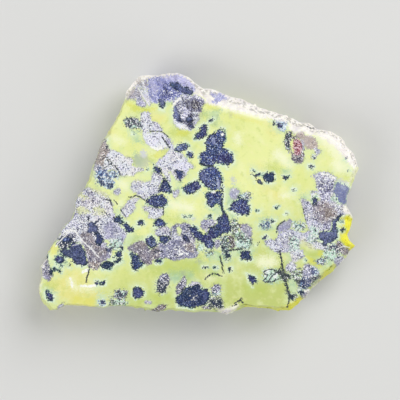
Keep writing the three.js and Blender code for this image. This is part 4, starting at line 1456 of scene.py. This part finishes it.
slant = add("Mapping", [place, (0, 0, 0), (0, 0, 0.3), (1 / 0.55, 1 / 1.2, 1)])
streaks = add("TexNoise", [slant, 1, 2, 0.6])
weathered = tinge(
    "#5760a4",
    ("#8c95d2", streaks, 0.38, 0.62),
    ("#4c5088", drawn["blue_light"], 0.35, 0.1, 0, 0.6),
    ("#cdcaea", drawn["blue_light"], 0.4, 1, 0, 0.85),
    ("#3c4276", overlap(busy, add("MapRange", [dust, 0.44, 0.34, 0, 0.8], **SMOOTH))),
    ("#e8eaf8", overlap(busy, add("MapRange", [sparks, 0.46, 0.38, 0, 0.9], **SMOOTH))))
red = tinge(
    "#b4646a",
    ("#c48e9c", motley, 0.4, 0.6),
    # the near-white specks are painted glints
    ("#ecdce2", sparks, 0.46, 0.36, 0, 0.8),
    ("#543040", sparks, 0.58, 0.66))
rock = lay(
    rock,
    (overlap(drawn["rind_white"], inside("rind", 1.8)), coat(chalk, 0.7)),
    (inside("blue", 1), coat(weathered, 0.5, 0.1)),
    (inside("red", 0.8), coat(red, 0.4)))
print("nodes with the weathered coats:", len(tree.nodes))

# %% [markdown]
# ## Magnetite
#
# Magnetite is black, but polished and clouded by serpentine it reads as navy, a little
# violet here and teal there. It is full of grains a third of a millimetre across, and some
# catch the light: painted glints of pale blue and near-white specks. Its edge is darkest,
# except on slate-blue grains, where `deep` fades the dark edge and the black specks away.

# %% The magnetite coat
slate = drawn["slate"]
glitter = overlap(drawn["glitter"], add("MapRange", [gathered, 0.4, 0.58, 0.35, 1.1], **SMOOTH))
glitter = add("Math", [glitter, 0.1], operation="ADD", use_clamp=True)
deep = add("MapRange", [slate, 0.4, 1, 1, 0.15], **SMOOTH)
navy = tinge(
    set_stops(add("ValToRGB", [cloudy]), (0.4, "#263c5a"), (0.5, "#313c72"), (0.6, "#3a3468")),
    ("#1a3450", slate, 0, -0.6),
    ("#8288b2", slate, 0.15, 0.9),
    ("#bcc4dc", slate, 0.9, 1.6),
    # painted glints: pale blue and near-white specks where grains catch the light
    ("#6a80c6", overlap(glitter, add("MapRange", [dust, 0.52, 0.61], **SMOOTH))),
    ("#d2dcf0", overlap(glitter, add("MapRange", [sparks, 0.42, 0.34], **SMOOTH))),
    ("#1f2748", overlap(deep, add("MapRange", [dust, 0.48, 0.38, 0, 0.85], **SMOOTH))),
    ("#22303c", overlap(deep, add("MapRange", [drawn["magnetite"], 0.2, 1.9, 0.8, 0], **SMOOTH))))
rock = lay(rock, (inside("magnetite"), coat(navy, 0.3, 0.3, 0.1)),
           # painted glints and reflections, and a few white scuffs
           (inside("white", 0.7, 0.4), coat("#fbfbf4", 0.4)))
print("nodes with the magnetite:", len(tree.nodes))

# %% [markdown]
# ## Cracks, scratches, painted highlights and the broken surface
#
# A line is drawn where the signed distance is less than one half width and the plain
# distance is too, which trims its ends. The noise makes it wander, and thins it here and
# there until it breaks.

# %% Lines
WANDER = 2.5                    # how far the coarse noise can move a line, half widths


def line(name, frayed):
    """1 on a thin line. The distances are in half widths, and so is `frayed`, how much the
    noise adds to the line or takes from it."""
    side = add("Math", [drawn[name + "_side"], WANDER / 2], **MINUS)
    side = add("Math", [coarse_fray, WANDER, side], **TIMES_PLUS)
    away = add("Math", [add("Math", [side], **SIZE), frayed / 2], **MINUS)
    away = add("Math", [fine_fray, frayed, away], **TIMES_PLUS)
    return overlap(add("MapRange", [away, 0.4, 1.3, 1, 0], **SMOOTH),
                   add("MapRange", [drawn[name + "_gap"], 1.4, 2.6, 1, 0], **SMOOTH))


rock = lay(rock, (line("crack", 4), coat("#2a343c", 0.5, 0, -0.6)),
           # white lines: scratches, and painted highlights along thin ridges
           (overlap(0.85, line("scratch", 2)), coat("#f4f4f2", 0.6, 0, -0.2)))
print("nodes with the lines:", len(tree.nodes))

# %% [markdown]
# ## The coats on the stone
#
# What is broken is matter than what is polished, and a little crumbly. The bump stays within
# hundredths of a millimetre, for relief too fine to be worth a mesh. Serpentine lets light
# in by about a millimetre, yellow further than blue.

# %% Put the coats on the stone
BROKEN_MATT, COAT_RELIEF = 0.28, 0.15

worn = add("MapRange", [outward, 0.02, 0.15], **SMOOTH)
matt = add("Math", [worn, BROKEN_MATT, rock["roughness"]], **TIMES_PLUS, use_clamp=True)
crumbs = overlap(worn, add("TexNoise", [place, 1 / 0.6, 3, 0.6]))
heights = add("Math", [rock["height"], COAT_RELIEF, crumbs], **TIMES_PLUS)
bump = add("Bump", {"Height": heights, "Strength": 0.5, "Distance": 0.35 * MM})
skin = {"Base Color": rock["tint"], "Roughness": matt, "Metallic": rock["metallic"], "Normal": bump,
        "Subsurface Weight": 0.12, "Subsurface Scale": 1.2 * MM, "Subsurface Radius": (1.0, 0.9, 0.4)}
surface = add("BsdfPrincipled", skin)
end = tree.nodes.new("ShaderNodeOutputMaterial")
tree.links.new(surface, end.inputs["Surface"])
slab_mesh.materials.append(stone)
print("nodes in the material:", len(tree.nodes))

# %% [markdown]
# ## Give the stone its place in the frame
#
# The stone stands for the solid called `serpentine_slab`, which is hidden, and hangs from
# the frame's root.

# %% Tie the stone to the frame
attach(slab, "root")
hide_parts("serpentine_slab")
print("tied to the frame:", slab.name)

# %% [markdown]
# ## A pale bench and a camera overhead
#
# The stone lies on a pale bench, which is only for the view and no part of it. The camera
# hangs a metre above and looks straight down, so the flat face keeps its true shape.

# %% Bench and camera
FRAME_SQUARES = 400             # what the camera frames at the height of the face
CAMERA_HEIGHT, SENSOR = 1.0, 36.0
BENCH = 3.0                     # half its side, in metres

bench_mesh = bpy.data.meshes.new("bench")
corners = [(-BENCH, -BENCH, 0), (BENCH, -BENCH, 0), (BENCH, BENCH, 0), (-BENCH, BENCH, 0)]
bench_mesh.from_pydata(corners, [], [(0, 1, 2, 3)])
bench = put("bench", bench_mesh)
paper = bpy.data.materials.new("matt paper, pressed")
paper.use_nodes = True
paper_surface = paper.node_tree.nodes["Principled BSDF"]
paper_surface.inputs["Base Color"].default_value = colour("#d9d9d7")
paper_surface.inputs["Roughness"].default_value = 0.9
bench_mesh.materials.append(paper)

lens = bpy.data.cameras.new("overhead")
lens.sensor_width = SENSOR
lens.lens = SENSOR * CAMERA_HEIGHT / (FRAME_SQUARES * SQUARE * MM)
camera = put("overhead", lens)
camera.location = (*(-middle * MM), THICKNESS * MM + CAMERA_HEIGHT)
bpy.context.scene.camera = camera
print("the lens is", round(lens.lens), "mm long")

# %% [markdown]
# ## Soft light
#
# The main light is a large soft one from the upper right, which rakes the bevels there. The
# sky is dim, because a polished face seen square on reflects what is straight above it, and
# a bright sky would grey the magnetite.

# %% Lights and sky
SKY_STRENGTH = 0.4


def soft_light(name, place_at, size, power):
    """A square area light, turned so that its -Z axis points at the stone, and hidden from
    the camera. Its place and size are in metres and its power in watts."""
    lamp = bpy.data.lights.new(name, "AREA")
    lamp.size = size
    lamp.energy = power
    lamp_object = put(name, lamp)
    lamp_object.location = place_at
    lamp_object.rotation_euler = (-Vector(place_at)).to_track_quat("-Z", "Y").to_euler()
    lamp_object.visible_camera = False


soft_light("key", (0.7, 0.8, 0.9), 1.2, 14.6)
soft_light("fill", (-0.9, -0.5, 0.7), 0.8, 6)
soft_light("low fill", (0.9, -0.9, 0.6), 0.6, 2.6)

world = bpy.data.worlds.new("dim room")
bpy.context.scene.world = world
world.use_nodes = True
sky = world.node_tree.nodes["Background"].inputs
sky["Color"].default_value = (1, 1, 1, 1)
sky["Strength"].default_value = SKY_STRENGTH
bpy.context.scene.view_settings.view_transform = "Standard"
print("lights:", len(bpy.data.lights), " strength of the sky:", SKY_STRENGTH)
